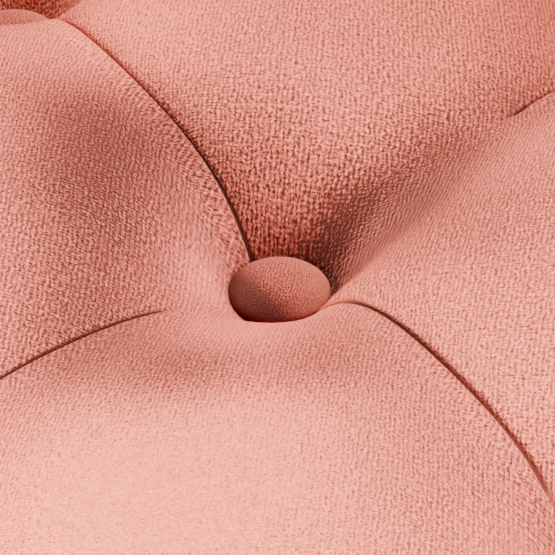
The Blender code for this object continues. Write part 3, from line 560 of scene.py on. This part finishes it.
def seat_panel():
    """Tufted top of the cushion, from the middle out to the welt."""
    pattern = seat_pattern()
    for column, row in ((0, -1), (-1, 0), (1, 0), (0, 1)):
        pattern.cell((column, row - 1), (column + 1, row), (column, row + 1), (column - 1, row))
    front_side = TO_SIDE - SEAT_PITCH_Y - SIDE_FRONT
    middle_side = TO_SIDE - SIDE_FRONT
    diagonal = TO_REAR + EDGE_HALF * math.atan2(SEAT_PITCH_Y / 2 - SEAT_REAR_CENTRE_Y, SEAT_PITCH_X / 2)
    for side in (-1, 1):
        mirrored = mirrored_to(side)
        pleats = [((2, -2), SEAT_PITCH_X), ((2, -2), front_side), ((2, 0), middle_side), ((1, 1), diagonal)]
        for name, position in pleats:
            pattern.pleat(*mirrored(name), side * position, **EDGE_PLEAT, over=side)
        pattern.strip(mirrored((0, -2), (1, -1), (2, -2)), 0.0, side * SEAT_PITCH_X)
        pattern.strip(mirrored((2, -2)), side * SEAT_PITCH_X, side * front_side)
        pattern.strip(mirrored((2, -2), (1, -1), (2, 0)), side * front_side, side * middle_side)
        pattern.strip(mirrored((2, 0), (1, 1)), side * middle_side, side * diagonal)
        pattern.strip(mirrored((1, 1), (0, 2)), side * diagonal, side * TO_END)
    pattern.pleat((0, -2), 0.0, **EDGE_PLEAT)
    pattern.pleat((0, 2), TO_END, **EDGE_PLEAT)

    def dip(points):
        """The panel is pulled down towards the welt."""
        distance, _ = outside_flat_top(points)
        return -EDGE_DIP * smooth(1 + (distance - WELT_REACH) / SEAT_DIP_REACH)

    return tufted_mesh("seat_top_panel", pattern, seat_surface, dip)


def seat_rings(section, count=420):
    """Place a (distance out, height) section all round the seat's outline."""
    edge = seat_edge(np.linspace(-TO_END, TO_END, count, endpoint=False))
    _, outward = outside_flat_top(edge)
    rings = []
    for place, direction in zip(edge - outward * WELT_REACH, outward):
        rings.append([(*(place + direction * reach), level) for reach, level in section])
    return np.array(rings)


def seat_side(rows=12):
    """The cushion's border below the welt, slightly full, with its underside."""
    tucked = -0.040         # the hidden inner edge, well under the panel
    section = [(tucked, SEAT_TOP - 0.050), (WELT_OUT - WELT_RADIUS, WELT_LEVEL)]
    top, bottom = WELT_LEVEL - 0.002, SEAT_BOTTOM + 0.004
    for i in range(rows + 1):
        share = i / rows
        fullness = 0.004 * math.sin(math.pi * share) ** 0.6
        section.append((SEAT_ROLL - 0.003 + fullness, top + (bottom - top) * share))
    section += [(SEAT_ROLL - 0.006, SEAT_BOTTOM + 0.001), (SEAT_ROLL - 0.016, SEAT_BOTTOM)]
    section.append((tucked, SEAT_BOTTOM))
    return swept("seat_border", seat_rings(section), closed_path=True)


# ---------------------------------------------------------------- tub wall

ARC_HALF = WALL_RADIUS * math.pi / 2
WALL_HALF = ARC_HALF + ARM_RUN


def wall_frame(along):
    """Plan place and outward direction of the ply's inner face, at distances from the back's middle."""
    turn = np.clip(along / WALL_RADIUS, -math.pi / 2, math.pi / 2)
    outward = np.stack([np.sin(turn), np.cos(turn)], axis=-1)
    past = np.maximum(np.abs(along) - ARC_HALF, 0.0)
    place = WALL_RADIUS * outward + np.stack([np.zeros_like(past), WALL_CENTRE_Y - past], axis=-1)
    return place, outward


def lean_at(along):
    """Outward lean of the wall, largest at the back."""
    share = np.cos(np.clip(np.abs(along) / WALL_RADIUS, 0, math.pi / 2)) ** 2
    return LEAN_ARM + (LEAN_BACK - LEAN_ARM) * share


def top_at(along):
    """Height of the wall's top."""
    return BACK_TOP + (ARM_TOP - BACK_TOP) * smooth((np.abs(along) - SLOPE_START) / (SLOPE_END - SLOPE_START))


def wall_point(along, offset, level):
    """Points of the wall, offset outward from the ply's inner face."""
    place, outward = wall_frame(along)
    away = offset + (level - BOARD_BOTTOM) * np.tan(lean_at(along))
    plan = place + outward * np.asarray(away)[..., None]
    return np.concatenate([plan, np.broadcast_to(level, away.shape)[..., None]], axis=-1)


def pad_face(along, level):
    """Offset of the inside pad's face from the ply."""
    share = (level - PAD_BOTTOM) / (top_at(along) - PAD_BOTTOM)
    return -(PAD_THICKNESS_BOTTOM + (PAD_THICKNESS_TOP - PAD_THICKNESS_BOTTOM) * share)


def back_surface(points):
    """Wrap the flat pattern up the inside of the wall and over its rolled top."""
    along, up = points[:, 0], points[:, 1]
    roll_base = top_at(along) - ROLL_HEIGHT
    past = np.clip((up - roll_base) / ROLL_RADIUS, 0.0, math.pi)
    level = np.minimum(up, roll_base)
    inner = pad_face(along, level)
    offset = inner + (COVER_OUTER - inner) / 2 * (1 - np.cos(past))
    places = wall_point(along, offset, level + ROLL_HEIGHT * np.sin(past))
    turn = lean_at(along) + past
    _, outward = wall_frame(along)
    return places, np.column_stack([outward * -np.cos(turn)[:, None], np.sin(turn)])


def panel_top(along):
    """The pattern's upper edge: the welt behind the roll."""
    return top_at(along) - ROLL_HEIGHT + ROLL_RADIUS * ROLL_TURN


BACK_END_RISE = float(panel_top(np.array(WALL_HALF))) - PAD_BOTTOM


def back_edge(position):
    """The panel's outline, from the bottom's middle out to an arm's front, up it and back along the top."""
    side, run = np.sign(position), np.abs(position)
    on_top = run > WALL_HALF + BACK_END_RISE
    along = np.where(on_top, 2 * WALL_HALF + BACK_END_RISE - run, np.minimum(run, WALL_HALF))
    up = np.where(on_top, panel_top(along), PAD_BOTTOM + np.clip(run - WALL_HALF, 0, BACK_END_RISE))
    return np.column_stack([side * along, up])


def back_pattern():
    """Three rows of buttons in a diamond lattice, with pleats out to every edge."""
    rows = {1: (-5, -3, -1, 1, 3, 5), 2: (-4, -2, 0, 2, 4), 3: (-3, -1, 1, 3)}
    half = BACK_PITCH / 2
    buttons = {(column, row): (column * half, BACK_FIRST_ROW + (row - 1) * BACK_ROW_RISE)
               for row, columns in rows.items() for column in columns}
    pattern = Pattern(buttons, back_edge, BACK_SAMPLES, BACK_STEP)
    for column, row in buttons:
        for step in (-1, 1):
            if (column + step, row + 1) in buttons:
                pattern.fold((column, row), (column + step, row + 1), over=-step)
    pattern.patches = brushed_round(pattern.buttons)
    return pattern


def back_panel():
    """Tufted inside back and arms, over the roll to the welt."""
    pattern = back_pattern()
    for column in (-3, -1, 1, 3):
        pattern.cell((column, 1), (column + 1, 2), (column, 3), (column - 1, 2))
    half = BACK_PITCH / 2
    top_middle = 2 * WALL_HALF + BACK_END_RISE
    end = WALL_HALF + BACK_FIRST_ROW - PAD_BOTTOM

    def above(column):
        """Position on the outline's upper run, over a column of the lattice."""
        return top_middle - column * half

    pattern.strip([(-1, 1), (0, 2), (1, 1)], -half, half)
    pattern.strip([(1, 3), (0, 2), (-1, 3)], above(1), above(-1))
    for side in (-1, 1):
        mirrored = mirrored_to(side)
        for column in (1, 3, 5):
            pattern.pleat((side * column, 1), side * column * half, **EDGE_PLEAT, over=side)
        pattern.pleat((side * 5, 1), side * end, **EDGE_PLEAT, over=-side)
        for column, row in ((5, 1), (4, 2), (3, 3), (1, 3)):
            pattern.pleat((side * column, row), side * above(column), **EDGE_PLEAT, over=-side)
        pattern.strip(mirrored((1, 1), (2, 2), (3, 1)), side * half, side * 3 * half)
        pattern.strip(mirrored((3, 1), (4, 2), (5, 1)), side * 3 * half, side * 5 * half)
        pattern.strip(mirrored((5, 1)), side * 5 * half, side * end)
        pattern.strip(mirrored((5, 1)), side * end, side * above(5))
        pattern.strip(mirrored((5, 1), (4, 2)), side * above(5), side * above(4))
        pattern.strip(mirrored((4, 2), (3, 3)), side * above(4), side * above(3))
        pattern.strip(mirrored((3, 3), (2, 2), (1, 3)), side * above(3), side * above(1))

    def dip(points):
        """The panel is flattened behind the seat and pulled in at its edges."""
        below = smooth((SEAT_TOP + 0.010 - points[:, 1]) / 0.040)
        top = smooth(1 + (points[:, 1] - panel_top(points[:, 0])) / 0.020)
        end = smooth(1 + (np.abs(points[:, 0]) - WALL_HALF) / 0.015)
        return -EDGE_DIP * np.maximum(np.maximum(below, top), end)

    return tufted_mesh("inside_back_panel", pattern, back_surface, dip)


SEAM_PLACES = (-ARC_HALF, 0.0, ARC_HALF)
SEAM_GROOVE = 0.0022
SEAM_RIDGE = 0.0012         # at SEAM_RIDGE_OUT on each side of the groove
SEAM_RIDGE_OUT = 0.0045
COVER_FULLNESS = 0.003
SEAM_SAMPLES = np.array((0, 0.0007, 0.0015, 0.003, 0.006))


def outside_panel(rows=40, columns=170):
    """Plain outside cover, with a vertical seam behind each arm and one down the middle of the back."""
    near_seams = [place + way * SEAM_SAMPLES for place in SEAM_PLACES for way in (-1, 1)]
    stations = np.concatenate([np.linspace(-WALL_HALF, WALL_HALF, columns)] + near_seams)
    share = np.arange(rows + 1) / rows
    low = WALL_BOTTOM + 0.004
    rings = []
    for along in np.unique(np.round(stations, 5)):
        top = float(top_at(np.array(along))) - ROLL_HEIGHT + 0.002
        seam = min(abs(along - place) for place in SEAM_PLACES)
        ridge = SEAM_RIDGE * math.exp(-((seam - SEAM_RIDGE_OUT) / 0.003) ** 2)
        groove = SEAM_GROOVE * math.exp(-(seam / 0.0014) ** 2) - ridge
        full = COVER_FULLNESS * np.sin(math.pi * share) ** 0.5 * smooth(seam / 0.03)
        offsets = np.concatenate([[COVER_INNER], COVER_OUTER + full - groove, [COVER_INNER]])
        heights = np.concatenate([[WALL_BOTTOM + 0.001], low + (top - low) * share, [top]])
        rings.append(wall_point(np.full(len(offsets), along), offsets, heights))
    return swept("outside_cover_panel", rings)


def arm_outline(side, steps=26):
    """(offset, height) round an arm's front end: up the inside, over the roll, down the outside."""
    share = np.arange(steps + 1) / steps
    along = np.full(steps + 1, side * WALL_HALF)
    roll_base = top_at(along[0]) - ROLL_HEIGHT
    foot = WALL_BOTTOM + 0.002
    up = PAD_BOTTOM + (roll_base - PAD_BOTTOM) * share
    inner = pad_face(along, up)
    turn = math.pi * np.arange(1, steps) / steps
    half = (COVER_OUTER - inner[-1]) / 2
    over = inner[-1] + half * (1 - np.cos(turn))
    offsets = np.concatenate([[inner[0]], inner, over, np.full(steps + 1, COVER_OUTER)])
    heights = np.concatenate([[foot], up, roll_base + ROLL_HEIGHT * np.sin(turn),
                              roll_base + (foot - roll_base) * share])
    return offsets, heights


def arm_front(name, side, steps=12):
    """Soft domed panel that closes an arm's front end."""
    offsets, heights = arm_outline(side)
    along = np.full(len(offsets), side * WALL_HALF)
    middle = (offsets.min() + offsets.max()) / 2
    half = (offsets.max() - offsets.min()) / 2
    spine = np.clip(heights, heights.min() + half, heights.max() - half)
    rings = [wall_point(along, offsets, heights)]
    for i in range(steps + 1):
        left = 1 - i / steps        # what is left of the outline's width, down to its spine
        ring = wall_point(along, middle + (offsets - middle) * left, spine + (heights - spine) * left)
        ring[:, 1] -= FACING_THICKNESS * (0.55 + 0.45 * math.sqrt(1 - left ** 2))
        rings.append(ring)
    return swept(name, rings)


def arm_piping(name, side):
    """Cord round the arm's front panel."""
    offsets, heights = arm_outline(side)
    line = wall_point(np.full(len(offsets), side * WALL_HALF), offsets, heights)
    line[:, 1] -= FACING_THICKNESS * 0.45
    keep = np.concatenate([[True], np.linalg.norm(np.diff(line, axis=0), axis=1) > 1e-4])
    return cord_along(name, line[keep], WELT_RADIUS)


def wall_welt(name, offset, level_at, count=260):
    """Cord round the tub, at an offset from the ply and a height that may change along it."""
    along = np.linspace(-WALL_HALF, WALL_HALF, count)
    line = wall_point(along, np.full(count, offset), level_at(along))
    return cord_along(name, line, WELT_RADIUS)


def top_welt_level(along):
    """Height of the seam between the inside panel's roll and the outside cover."""
    return top_at(along) - ROLL_HEIGHT + 0.003


def bottom_welt_level(along):
    """Height of the outside cover's lower edge."""
    return np.full(len(along), WALL_BOTTOM + WELT_RADIUS)


# ---------------------------------------------------------------- covered buttons

def covered_button(name, node, place, outward, steps=22, sides=72):
    """A dome of velvet pulled over a shell, in place of its CAD node. place is the middle of its back."""
    outward = Vector(outward).normalized()
    across = Vector((0, 0, 1)).cross(outward)
    across = across.normalized() if across.length > 0.1 else Vector((1, 0, 0))
    up = outward.cross(across)
    turns = [2 * math.pi * k / sides for k in range(sides)]
    places, cloth_places = [], []
    for i in range(steps + 1):
        angle = BUTTON_WRAP * i / steps
        radius = BUTTON_RADIUS * math.sin(angle) ** (0.86 if angle < math.pi / 2 else 1.0)
        level = BUTTON_DOME * (0.42 + 0.60 * math.cos(angle))
        reach = BUTTON_RADIUS * angle * BUTTON_WEAVE
        for turn in turns:
            aside = across * math.cos(turn) + up * math.sin(turn)
            places.append(Vector(place) + aside * radius + outward * level)
            cloth_places.append((reach * math.cos(turn), reach * math.sin(turn), 0.0))
    faces = []
    for i in range(steps):
        row, below = i * sides, (i + 1) * sides
        for k in range(sides):
            beside = (k + 1) % sides
            faces.append((row + k, below + k, below + beside, row + beside))
    faces.append([steps * sides + k for k in range(sides - 1, -1, -1)])
    made = sheet_mesh(name, places, faces, [cloth_places[corner] for face in faces for corner in face])
    down = np.repeat(np.arange(steps + 1) / steps, sides)
    # Painted shade round the button's edge, where it sinks into its pit.
    store_number(made, "painted_pit_shade", BUTTON_EDGE_SHADE * smooth((down - 0.60) / 0.35))
    # Painted light on one side of the button and stronger painted shade on the other, and a little painted
    # shade all over.
    lit_side = np.sin(BUTTON_WRAP * down) * np.cos(np.tile(turns, steps + 1) - BUTTON_PAINTED_LIGHT_TURN)
    store_number(made, "nap_tone_and_painted_light", BUTTON_PAINTED_LIGHT * (0.3 * lit_side - 1.2 * np.minimum(lit_side, 0.0) ** 2 - 0.08))
    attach(made, "seat")
    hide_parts(node)
    dress(made, "pink_velvet")


def numbered(buttons):
    """Places in the flat pattern in the CAD nodes' order: row by row from the lowest, left to right."""
    return sorted(buttons.values(), key=lambda place: (round(place[1], 3), place[0]))


def seat_buttons():
    """The cushion's buttons, from the front."""
    for number, (x, y) in enumerate(numbered(seat_pattern().buttons), start=1):
        covered_button(f"seat_covered_button_{number:02d}", f"seat_button_{number:02d}",
                       (x, y, SEAT_TOP - PIT_DEPTH), (0, 0, 1))


def back_buttons():
    """The inside back's and arms' buttons, from the lowest row."""
    places, outward = back_surface(np.array(numbered(back_pattern().buttons)))
    for number, (place, direction) in enumerate(zip(places, outward), start=1):
        covered_button(f"back_covered_button_{number:02d}", f"back_button_{number:02d}",
                       place - direction * PIT_DEPTH, direction)


# ---------------------------------------------------------------- hard pieces that show close up

def base_disc(hub=0.105, opening=0.046, sheet=0.0015):
    """Chromed sheet over the base: a hub, a gentle slope and a rolled rim."""
    low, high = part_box("base_cover")
    radius, top = high.x, high.z
    slope = [(hub, top), (0.145, top - 0.0020), (0.185, top - 0.0035), (0.235, top - 0.0055),
             (radius - 0.012, top - 0.0070)]
    rim = []
    for degrees in (90, 60, 30, 0):
        turn = math.radians(degrees)
        rim.append((radius - 0.002 + 0.002 * math.cos(turn), top - 0.0105 + 0.0030 * math.sin(turn)))
    upper = slope + rim
    under = [(r - sheet * 0.3, z - sheet) for r, z in rim[::-1] + slope[::-1]]
    outline = [(opening, top)] + upper + [(radius, low.z), (radius - sheet, low.z)]
    outline += under + [(opening, top - sheet)]
    return turned("base_disc", outline[::-1])


def sleeve(wall=0.002, edge=0.0005):
    """Chromed tube over the pump."""
    low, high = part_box("lift_sleeve")
    radius = high.x
    outline = [(radius - edge, low.z), (radius, low.z + edge), (radius, high.z - edge),
               (radius - edge, high.z), (radius - wall, high.z), (radius - wall, low.z)]
    return turned("chrome_sleeve", outline, sides=96)


def ribbed_tread(ribs=46, groove=0.0012, edge_width=0.0012, edge_drop=0.0008):
    """Rubber tread with ribs across the footrest bar."""
    low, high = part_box("footrest_tread")
    steps = 4 * ribs        # two along each rib's top and two along the groove beside it
    rings = []
    for i in range(steps + 1):
        x = low.x + (high.x - low.x) * i / steps
        level = high.z - (groove if i % 4 in (2, 3) else 0.0)
        rings.append([(x, low.y, low.z), (x, high.y, low.z), (x, high.y, level - edge_drop),
                      (x, high.y - edge_width, level), (x, low.y + edge_width, level),
                      (x, low.y, level - edge_drop)])
    return swept("ribbed_tread", rings)


# ---------------------------------------------------------------- materials

class Look:
    """A Principled material with a few short-hands for its nodes."""

    def __init__(self, name, colour, roughness, metallic=0.0, **values):
        self.material = bpy.data.materials.new(name)
        self.material.use_nodes = True
        self.nodes = self.material.node_tree.nodes
        self.links = self.material.node_tree.links
        self.shader = self.nodes["Principled BSDF"]
        self.set("Base Color", (*colour, 1))
        self.set("Roughness", roughness)
        self.set("Metallic", metallic)
        for socket, value in values.items():
            self.set(socket.replace("_", " "), value)

    def set(self, socket, value):
        self.shader.inputs[socket].default_value = value

    def put(self, value, socket):
        """Connect another node's output, or set a plain number."""
        if isinstance(value, (int, float)):
            socket.default_value = value
        else:
            self.links.new(value, socket)

    def cloth(self):
        """Place on the cloth, in metres."""
        node = self.nodes.new("ShaderNodeAttribute")
        node.attribute_name = "cloth"
        return node.outputs["Vector"]

    def attribute(self, name):
        """A number stored on the mesh, 0 where there is none."""
        node = self.nodes.new("ShaderNodeAttribute")
        node.attribute_name = name
        return node.outputs["Fac"]

    def place(self, stretch=(1, 1, 1)):
        """Place on the object, in metres, stretched along its axes."""
        node = self.nodes.new("ShaderNodeMapping")
        node.inputs["Scale"].default_value = stretch
        self.links.new(self.nodes.new("ShaderNodeTexCoord").outputs["Object"], node.inputs["Vector"])
        return node.outputs["Vector"]

    def noise(self, where, scale, detail=3.0, roughness=0.5):
        node = self.nodes.new("ShaderNodeTexNoise")
        node.inputs["Scale"].default_value = scale
        node.inputs["Detail"].default_value = detail
        node.inputs["Roughness"].default_value = roughness
        self.links.new(where, node.inputs["Vector"])
        return node.outputs["Fac"]

    def bands(self, where, direction, period, distortion):
        node = self.nodes.new("ShaderNodeTexWave")
        node.bands_direction = direction
        node.inputs["Scale"].default_value = 2 * math.pi / (20 * period)
        node.inputs["Distortion"].default_value = distortion
        node.inputs["Detail"].default_value = 2.0
        node.inputs["Detail Scale"].default_value = 1.3
        self.links.new(where, node.inputs["Vector"])
        return node.outputs["Fac"]

    def calculate(self, operation, a, b):
        node = self.nodes.new("ShaderNodeMath")
        node.operation = operation
        self.put(a, node.inputs[0])
        self.put(b, node.inputs[1])
        return node.outputs[0]

    def mix(self, parts):
        """Sum of (value, weight) pairs."""
        total = 0.0
        for value, weight in parts:
            total = self.calculate("ADD", total, self.calculate("MULTIPLY", value, weight))
        return total

    def ramp(self, value, stops, socket):
        """Colour or grey from stops of (position, colour)."""
        node = self.nodes.new("ShaderNodeValToRGB")
        ramp = node.color_ramp
        while len(ramp.elements) < len(stops):
            ramp.elements.new(0.5)
        for element, (position, colour) in zip(ramp.elements, stops):
            grey = isinstance(colour, (int, float))
            element.position = position
            element.color = (colour, colour, colour, 1) if grey else (*colour, 1)
        self.links.new(value, node.inputs["Fac"])
        self.links.new(node.outputs["Color"], self.shader.inputs[socket])

    def bump(self, height, depth, strength=0.5):
        node = self.nodes.new("ShaderNodeBump")
        node.inputs["Strength"].default_value = strength
        node.inputs["Distance"].default_value = depth
        self.links.new(height, node.inputs["Height"])
        self.links.new(node.outputs["Normal"], self.shader.inputs["Normal"])


RIB_PITCH = 0.00102
ROW_PITCH = 0.00080
RIB_WANDER = 5.0
# The darker stops are mostly reached where painted shade darkens the pile: in pits, creases, and on a
# button's edge and shaded side.
VELVET_DARKEST = (0.040, 0.007, 0.005)
VELVET_DEEP = (0.24, 0.048, 0.032)
VELVET_MIDDLE = (0.48, 0.100, 0.064)
VELVET_PALE = (0.86, 0.185, 0.112)
VELVET_STOPS = ((0.05, VELVET_DARKEST), (0.28, VELVET_DEEP), (0.46, VELVET_MIDDLE), (0.66, VELVET_PALE))


def velvet():
    """Short ribbed pile: painted shade darkens and smooths it down in pits and creases; pale where it catches
    light.
    """
    look = Look("velvet", VELVET_MIDDLE, 0.9, Sheen_Weight=0.4, Sheen_Roughness=0.35,
                Sheen_Tint=(1.0, 0.27, 0.20, 1), Specular_IOR_Level=0.1)
    cloth = look.cloth()
    ribs = look.bands(cloth, "X", RIB_PITCH, RIB_WANDER)
    rows = look.bands(cloth, "Y", ROW_PITCH, RIB_WANDER)
    tufts = look.noise(cloth, 1150, 2, 0.6)
    fibres = look.noise(cloth, 2400, 1)
    pile = look.mix(((ribs, 0.50), (rows, 0.24), (tufts, 2.4), (fibres, 1.6), (1.0, -1.67)))
    waves = look.mix(((look.noise(cloth, 38), 0.7), (look.noise(cloth, 130), 0.3)))
    painted_pit_shade = look.attribute("painted_pit_shade")
    # Painted shade: the pile's grain and light fade away down in pits, along creases and round a button's
    # edge.
    painted_shade_keep = look.calculate("MAXIMUM", look.mix(((painted_pit_shade, -0.45), (1.0, 1.0))), 0.0)
    pile_under_painted_shade = look.calculate("MULTIPLY", pile, painted_shade_keep)
    # Painted shade in pits, and through the nap attribute painted light and shade near the middle button and
    # on each button, with brushed tone elsewhere.
    shade = look.mix(((pile_under_painted_shade, 1.0), (waves, 0.45), (painted_pit_shade, -0.02), (look.attribute("nap_tone_and_painted_light"), 0.5)))
    look.ramp(look.calculate("MULTIPLY", shade, 0.5), VELVET_STOPS, "Base Color")
    look.bump(pile_under_painted_shade, 0.0008, 1.0)
    return look.material


def hard_finish(name, colour, roughness, metallic, uneven, noise, stops, bump, stretch=(1, 1, 1)):
    """One socket drifts between stops by noise of a (scale, detail), over a fine bump.

    bump gives its noise's scale and detail, its depth and its strength.
    """
    look = Look(name, colour, roughness, metallic)
    place = look.place(stretch)
    look.ramp(look.noise(place, *noise), stops, uneven)
    scale, detail, depth, strength = bump
    look.bump(look.noise(place, scale, detail), depth, strength)
    return look.material


def chrome():
    """Polished plate with faint handling haze."""
    return hard_finish("chrome", (0.80, 0.81, 0.83), 0.08, 1.0, "Roughness", (9, 5),
                       ((0.35, 0.045), (0.75, 0.16)), bump=(420, 2, 0.00003, 0.15))


def plate_steel():
    """Black paint with slight orange peel."""
    return hard_finish("plate_steel", (0.035, 0.035, 0.038), 0.42, 0.0, "Base Color", (18, 5),
                       ((0.3, (0.022, 0.022, 0.024)), (0.8, (0.060, 0.060, 0.062))),
                       bump=(700, 2, 0.0001, 0.3))


def rod_steel():
    """Ground rod with a film of oil."""
    return hard_finish("rod_steel", (0.72, 0.73, 0.75), 0.16, 1.0, "Roughness", (25, 4),
                       ((0.3, 0.10), (0.8, 0.26)), bump=(60, 2, 0.00003, 0.2), stretch=(1, 1, 60))


def pump_casting():
    """Grey hammered paint."""
    return hard_finish("pump_casting", (0.25, 0.26, 0.28), 0.38, 0.3, "Base Color", (260, 3),
                       ((0.3, (0.16, 0.165, 0.18)), (0.7, (0.34, 0.35, 0.37))), bump=(260, 2, 0.0004, 0.5))


def zinc_steel():
    """Dull plated hardware."""
    return hard_finish("zinc_steel", (0.62, 0.63, 0.64), 0.35, 1.0, "Roughness", (90, 4),
                       ((0.3, 0.26), (0.8, 0.50)), bump=(600, 2, 0.00004, 0.3))


def black_rubber():
    """Matt rubber, dusty in patches."""
    return hard_finish("black_rubber", (0.03, 0.03, 0.03), 0.78, 0.0, "Base Color", (30, 5),
                       ((0.3, (0.016, 0.016, 0.016)), (0.85, (0.060, 0.058, 0.055))),
                       bump=(900, 3, 0.0003, 0.4))


def black_plastic():
    """Moulded plastic with a fine spark texture."""
    return hard_finish("black_plastic", (0.04, 0.04, 0.045), 0.45, 0.0, "Roughness", (60, 4),
                       ((0.3, 0.38), (0.8, 0.58)), bump=(1400, 2, 0.0001, 0.4))


def plywood():
    """Birch ply: long grain, with the layers showing at the edges."""
    look = Look("plywood", (0.62, 0.45, 0.28), 0.62)
    grain = look.noise(look.place((4, 4, 90)), 6, 6, 0.6)
    layers = look.bands(look.place(), "Z", 0.0022, 0.6)
    stops = ((0.25, (0.36, 0.22, 0.11)), (0.55, (0.60, 0.43, 0.26)), (0.85, (0.74, 0.58, 0.38)))
    look.ramp(look.mix(((grain, 0.8), (layers, 0.25))), stops, "Base Color")
    look.bump(grain, 0.0002, 0.3)
    return look.material


def floor_finish():
    """Plain pale floor."""
    return Look("floor_finish", (0.42, 0.41, 0.40), 0.8).material


finishes = {
    "pink_velvet": velvet(), "chrome": chrome(), "plate_steel": plate_steel(), "rod_steel": rod_steel(),
    "pump_casting": pump_casting(), "zinc_steel": zinc_steel(), "black_rubber": black_rubber(),
    "plywood": plywood(), "black_plastic": black_plastic(),
}


# ---------------------------------------------------------------- build

def dress(piece, slot):
    """Give a piece its slot's finish."""
    piece.data.materials.clear()
    piece.data.materials.append(finishes[slot])


def smooth_cad(node):
    """Shade a CAD node's round faces smooth and keep its real edges."""
    mesh = node.data
    for face in mesh.polygons:
        face.use_smooth = True
    mesh.set_sharp_from_angle(angle=math.radians(32))


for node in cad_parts.values():
    smooth_cad(node)
    dress(node, node.data.materials[0].name.split(".")[0])

upholstery = (
    (seat_panel(), "seat_cushion", 0.85),
    (seat_side(), "seat_cushion", 0.9),
    (back_panel(), "inside_back_pad", 0.8),
    (outside_panel(), "outside_cover", 0.7),
    (arm_front("arm_front_left", -1), "arm_facing_left", 0.8),
    (arm_front("arm_front_right", 1), "arm_facing_right", 0.8),
)
for piece, node, fill in upholstery:
    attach(piece, "seat")
    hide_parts(node)
    dress(piece, "pink_velvet")

seat_welt_line = seat_rings([(WELT_OUT, WELT_LEVEL)])[:, 0]
welts = (
    cord_along("seat_welt", seat_welt_line, WELT_RADIUS, closed=True),
    wall_welt("top_welt", COVER_OUTER + 0.0005, top_welt_level),
    wall_welt("bottom_welt", COVER_OUTER - 0.002, bottom_welt_level),
    arm_piping("arm_piping_left", -1),
    arm_piping("arm_piping_right", 1),
)
for piece in welts:
    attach(piece, "seat")
    dress(piece, "pink_velvet")

seat_buttons()
back_buttons()

hard_pieces = (
    (base_disc(), "base", "base_cover", "chrome"),
    (sleeve(), "ram", "lift_sleeve", "chrome"),
    (ribbed_tread(), "seat", "footrest_tread", "black_rubber"),
)
for piece, body, node, slot in hard_pieces:
    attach(piece, body)
    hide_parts(node)
    dress(piece, slot)


# ---------------------------------------------------------------- camera, floor and light

FLOOR_RADIUS = 2.5
FLOOR_SIDES = 96
CAMERA_ELEVATION = math.radians(38)
CAMERA_AZIMUTH = math.radians(7)
CAMERA_DISTANCE = 0.62
CAMERA_SIDE = -0.0004       # small steps that put the button where the photo has it
CAMERA_RISE = 0.0001
LIGHT_DISTANCE = 3.0
SOFT_WHITE = (1.0, 0.98, 0.96)
WARM_WHITE = (1.0, 0.95, 0.82)
ROOM_BRIGHTNESS = 1.20      # the pale room as it is seen and mirrored
ROOM_LIGHT = 0.05           # and as it lights, which is little


def aim(thing, place, away):
    """Put a camera or a light at a place, looking against the direction away."""
    bpy.context.scene.collection.objects.link(thing)
    thing.location = place
    thing.rotation_mode = "QUATERNION"
    thing.rotation_quaternion = (-away).to_track_quat("-Z", "Y")


def direction_at(azimuth, elevation):
    """Direction away from the seat. Azimuth 0 is the chair's front, and it grows to the viewer's right."""
    level = math.cos(elevation)
    return Vector((math.sin(azimuth) * level, -math.cos(azimuth) * level, math.sin(elevation)))


def floor_disc():
    """Round floor under the chair."""
    turns = [2 * math.pi * k / FLOOR_SIDES for k in range(FLOOR_SIDES)]
    mesh = bpy.data.meshes.new("floor")
    mesh.from_pydata([(FLOOR_RADIUS * math.cos(turn), FLOOR_RADIUS * math.sin(turn), 0) for turn in turns],
                     [], [range(FLOOR_SIDES)])
    floor = add_object("floor", mesh)
    floor.data.materials.append(floor_finish())


def photo_camera():
    """Long lens close above the seat, aimed at the middle button."""
    towards_camera = direction_at(CAMERA_AZIMUTH, CAMERA_ELEVATION)
    right = Vector((math.cos(CAMERA_AZIMUTH), math.sin(CAMERA_AZIMUTH), 0))
    up = towards_camera.cross(right)
    target = Vector((0, 0, SEAT_TOP - PIT_DEPTH + BUTTON_DOME)) + right * CAMERA_SIDE + up * CAMERA_RISE
    camera = bpy.data.objects.new("camera", bpy.data.cameras.new("camera"))
    camera.data.lens = 180
    camera.data.sensor_width = 36
    camera.data.clip_start = 0.01
    aim(camera, target + towards_camera * CAMERA_DISTANCE, towards_camera)
    bpy.context.scene.camera = camera


def softbox(name, azimuth, elevation, size, power, colour=SOFT_WHITE):
    """Square light aimed at the seat, its angles in degrees."""
    away = direction_at(math.radians(azimuth), math.radians(elevation))
    light = bpy.data.objects.new(name, bpy.data.lights.new(name, "AREA"))
    light.data.size = size
    light.data.energy = power
    light.data.color = colour
    aim(light, Vector((0, 0, SEAT_TOP)) + away * LIGHT_DISTANCE, away)


def pale_room():
    """Even surroundings that are brighter to the eye and in mirrors than as a light."""
    world = bpy.data.worlds.new("world")
    bpy.context.scene.world = world
    world.use_nodes = True
    nodes, links = world.node_tree.nodes, world.node_tree.links
    background = nodes["Background"]
    background.inputs["Color"].default_value = (0.93, 0.92, 0.91, 1)
    rays = nodes.new("ShaderNodeLightPath")
    brightness = nodes.new("ShaderNodeMapRange")
    brightness.inputs["To Min"].default_value = ROOM_BRIGHTNESS
    brightness.inputs["To Max"].default_value = ROOM_LIGHT
    links.new(rays.outputs["Is Diffuse Ray"], brightness.inputs["Value"])
    links.new(brightness.outputs["Result"], background.inputs["Strength"])


floor_disc()
photo_camera()
softbox("right_low", 50, 25, 0.8, 300)
softbox("left_low", -45, 13, 0.9, 560, colour=WARM_WHITE)
softbox("overhead_right", 105, 60, 1.0, 90)
softbox("overhead_rear", 170, 66, 0.8, 250)
softbox("rear_fill", 200, 20, 1.8, 110)
pale_room()
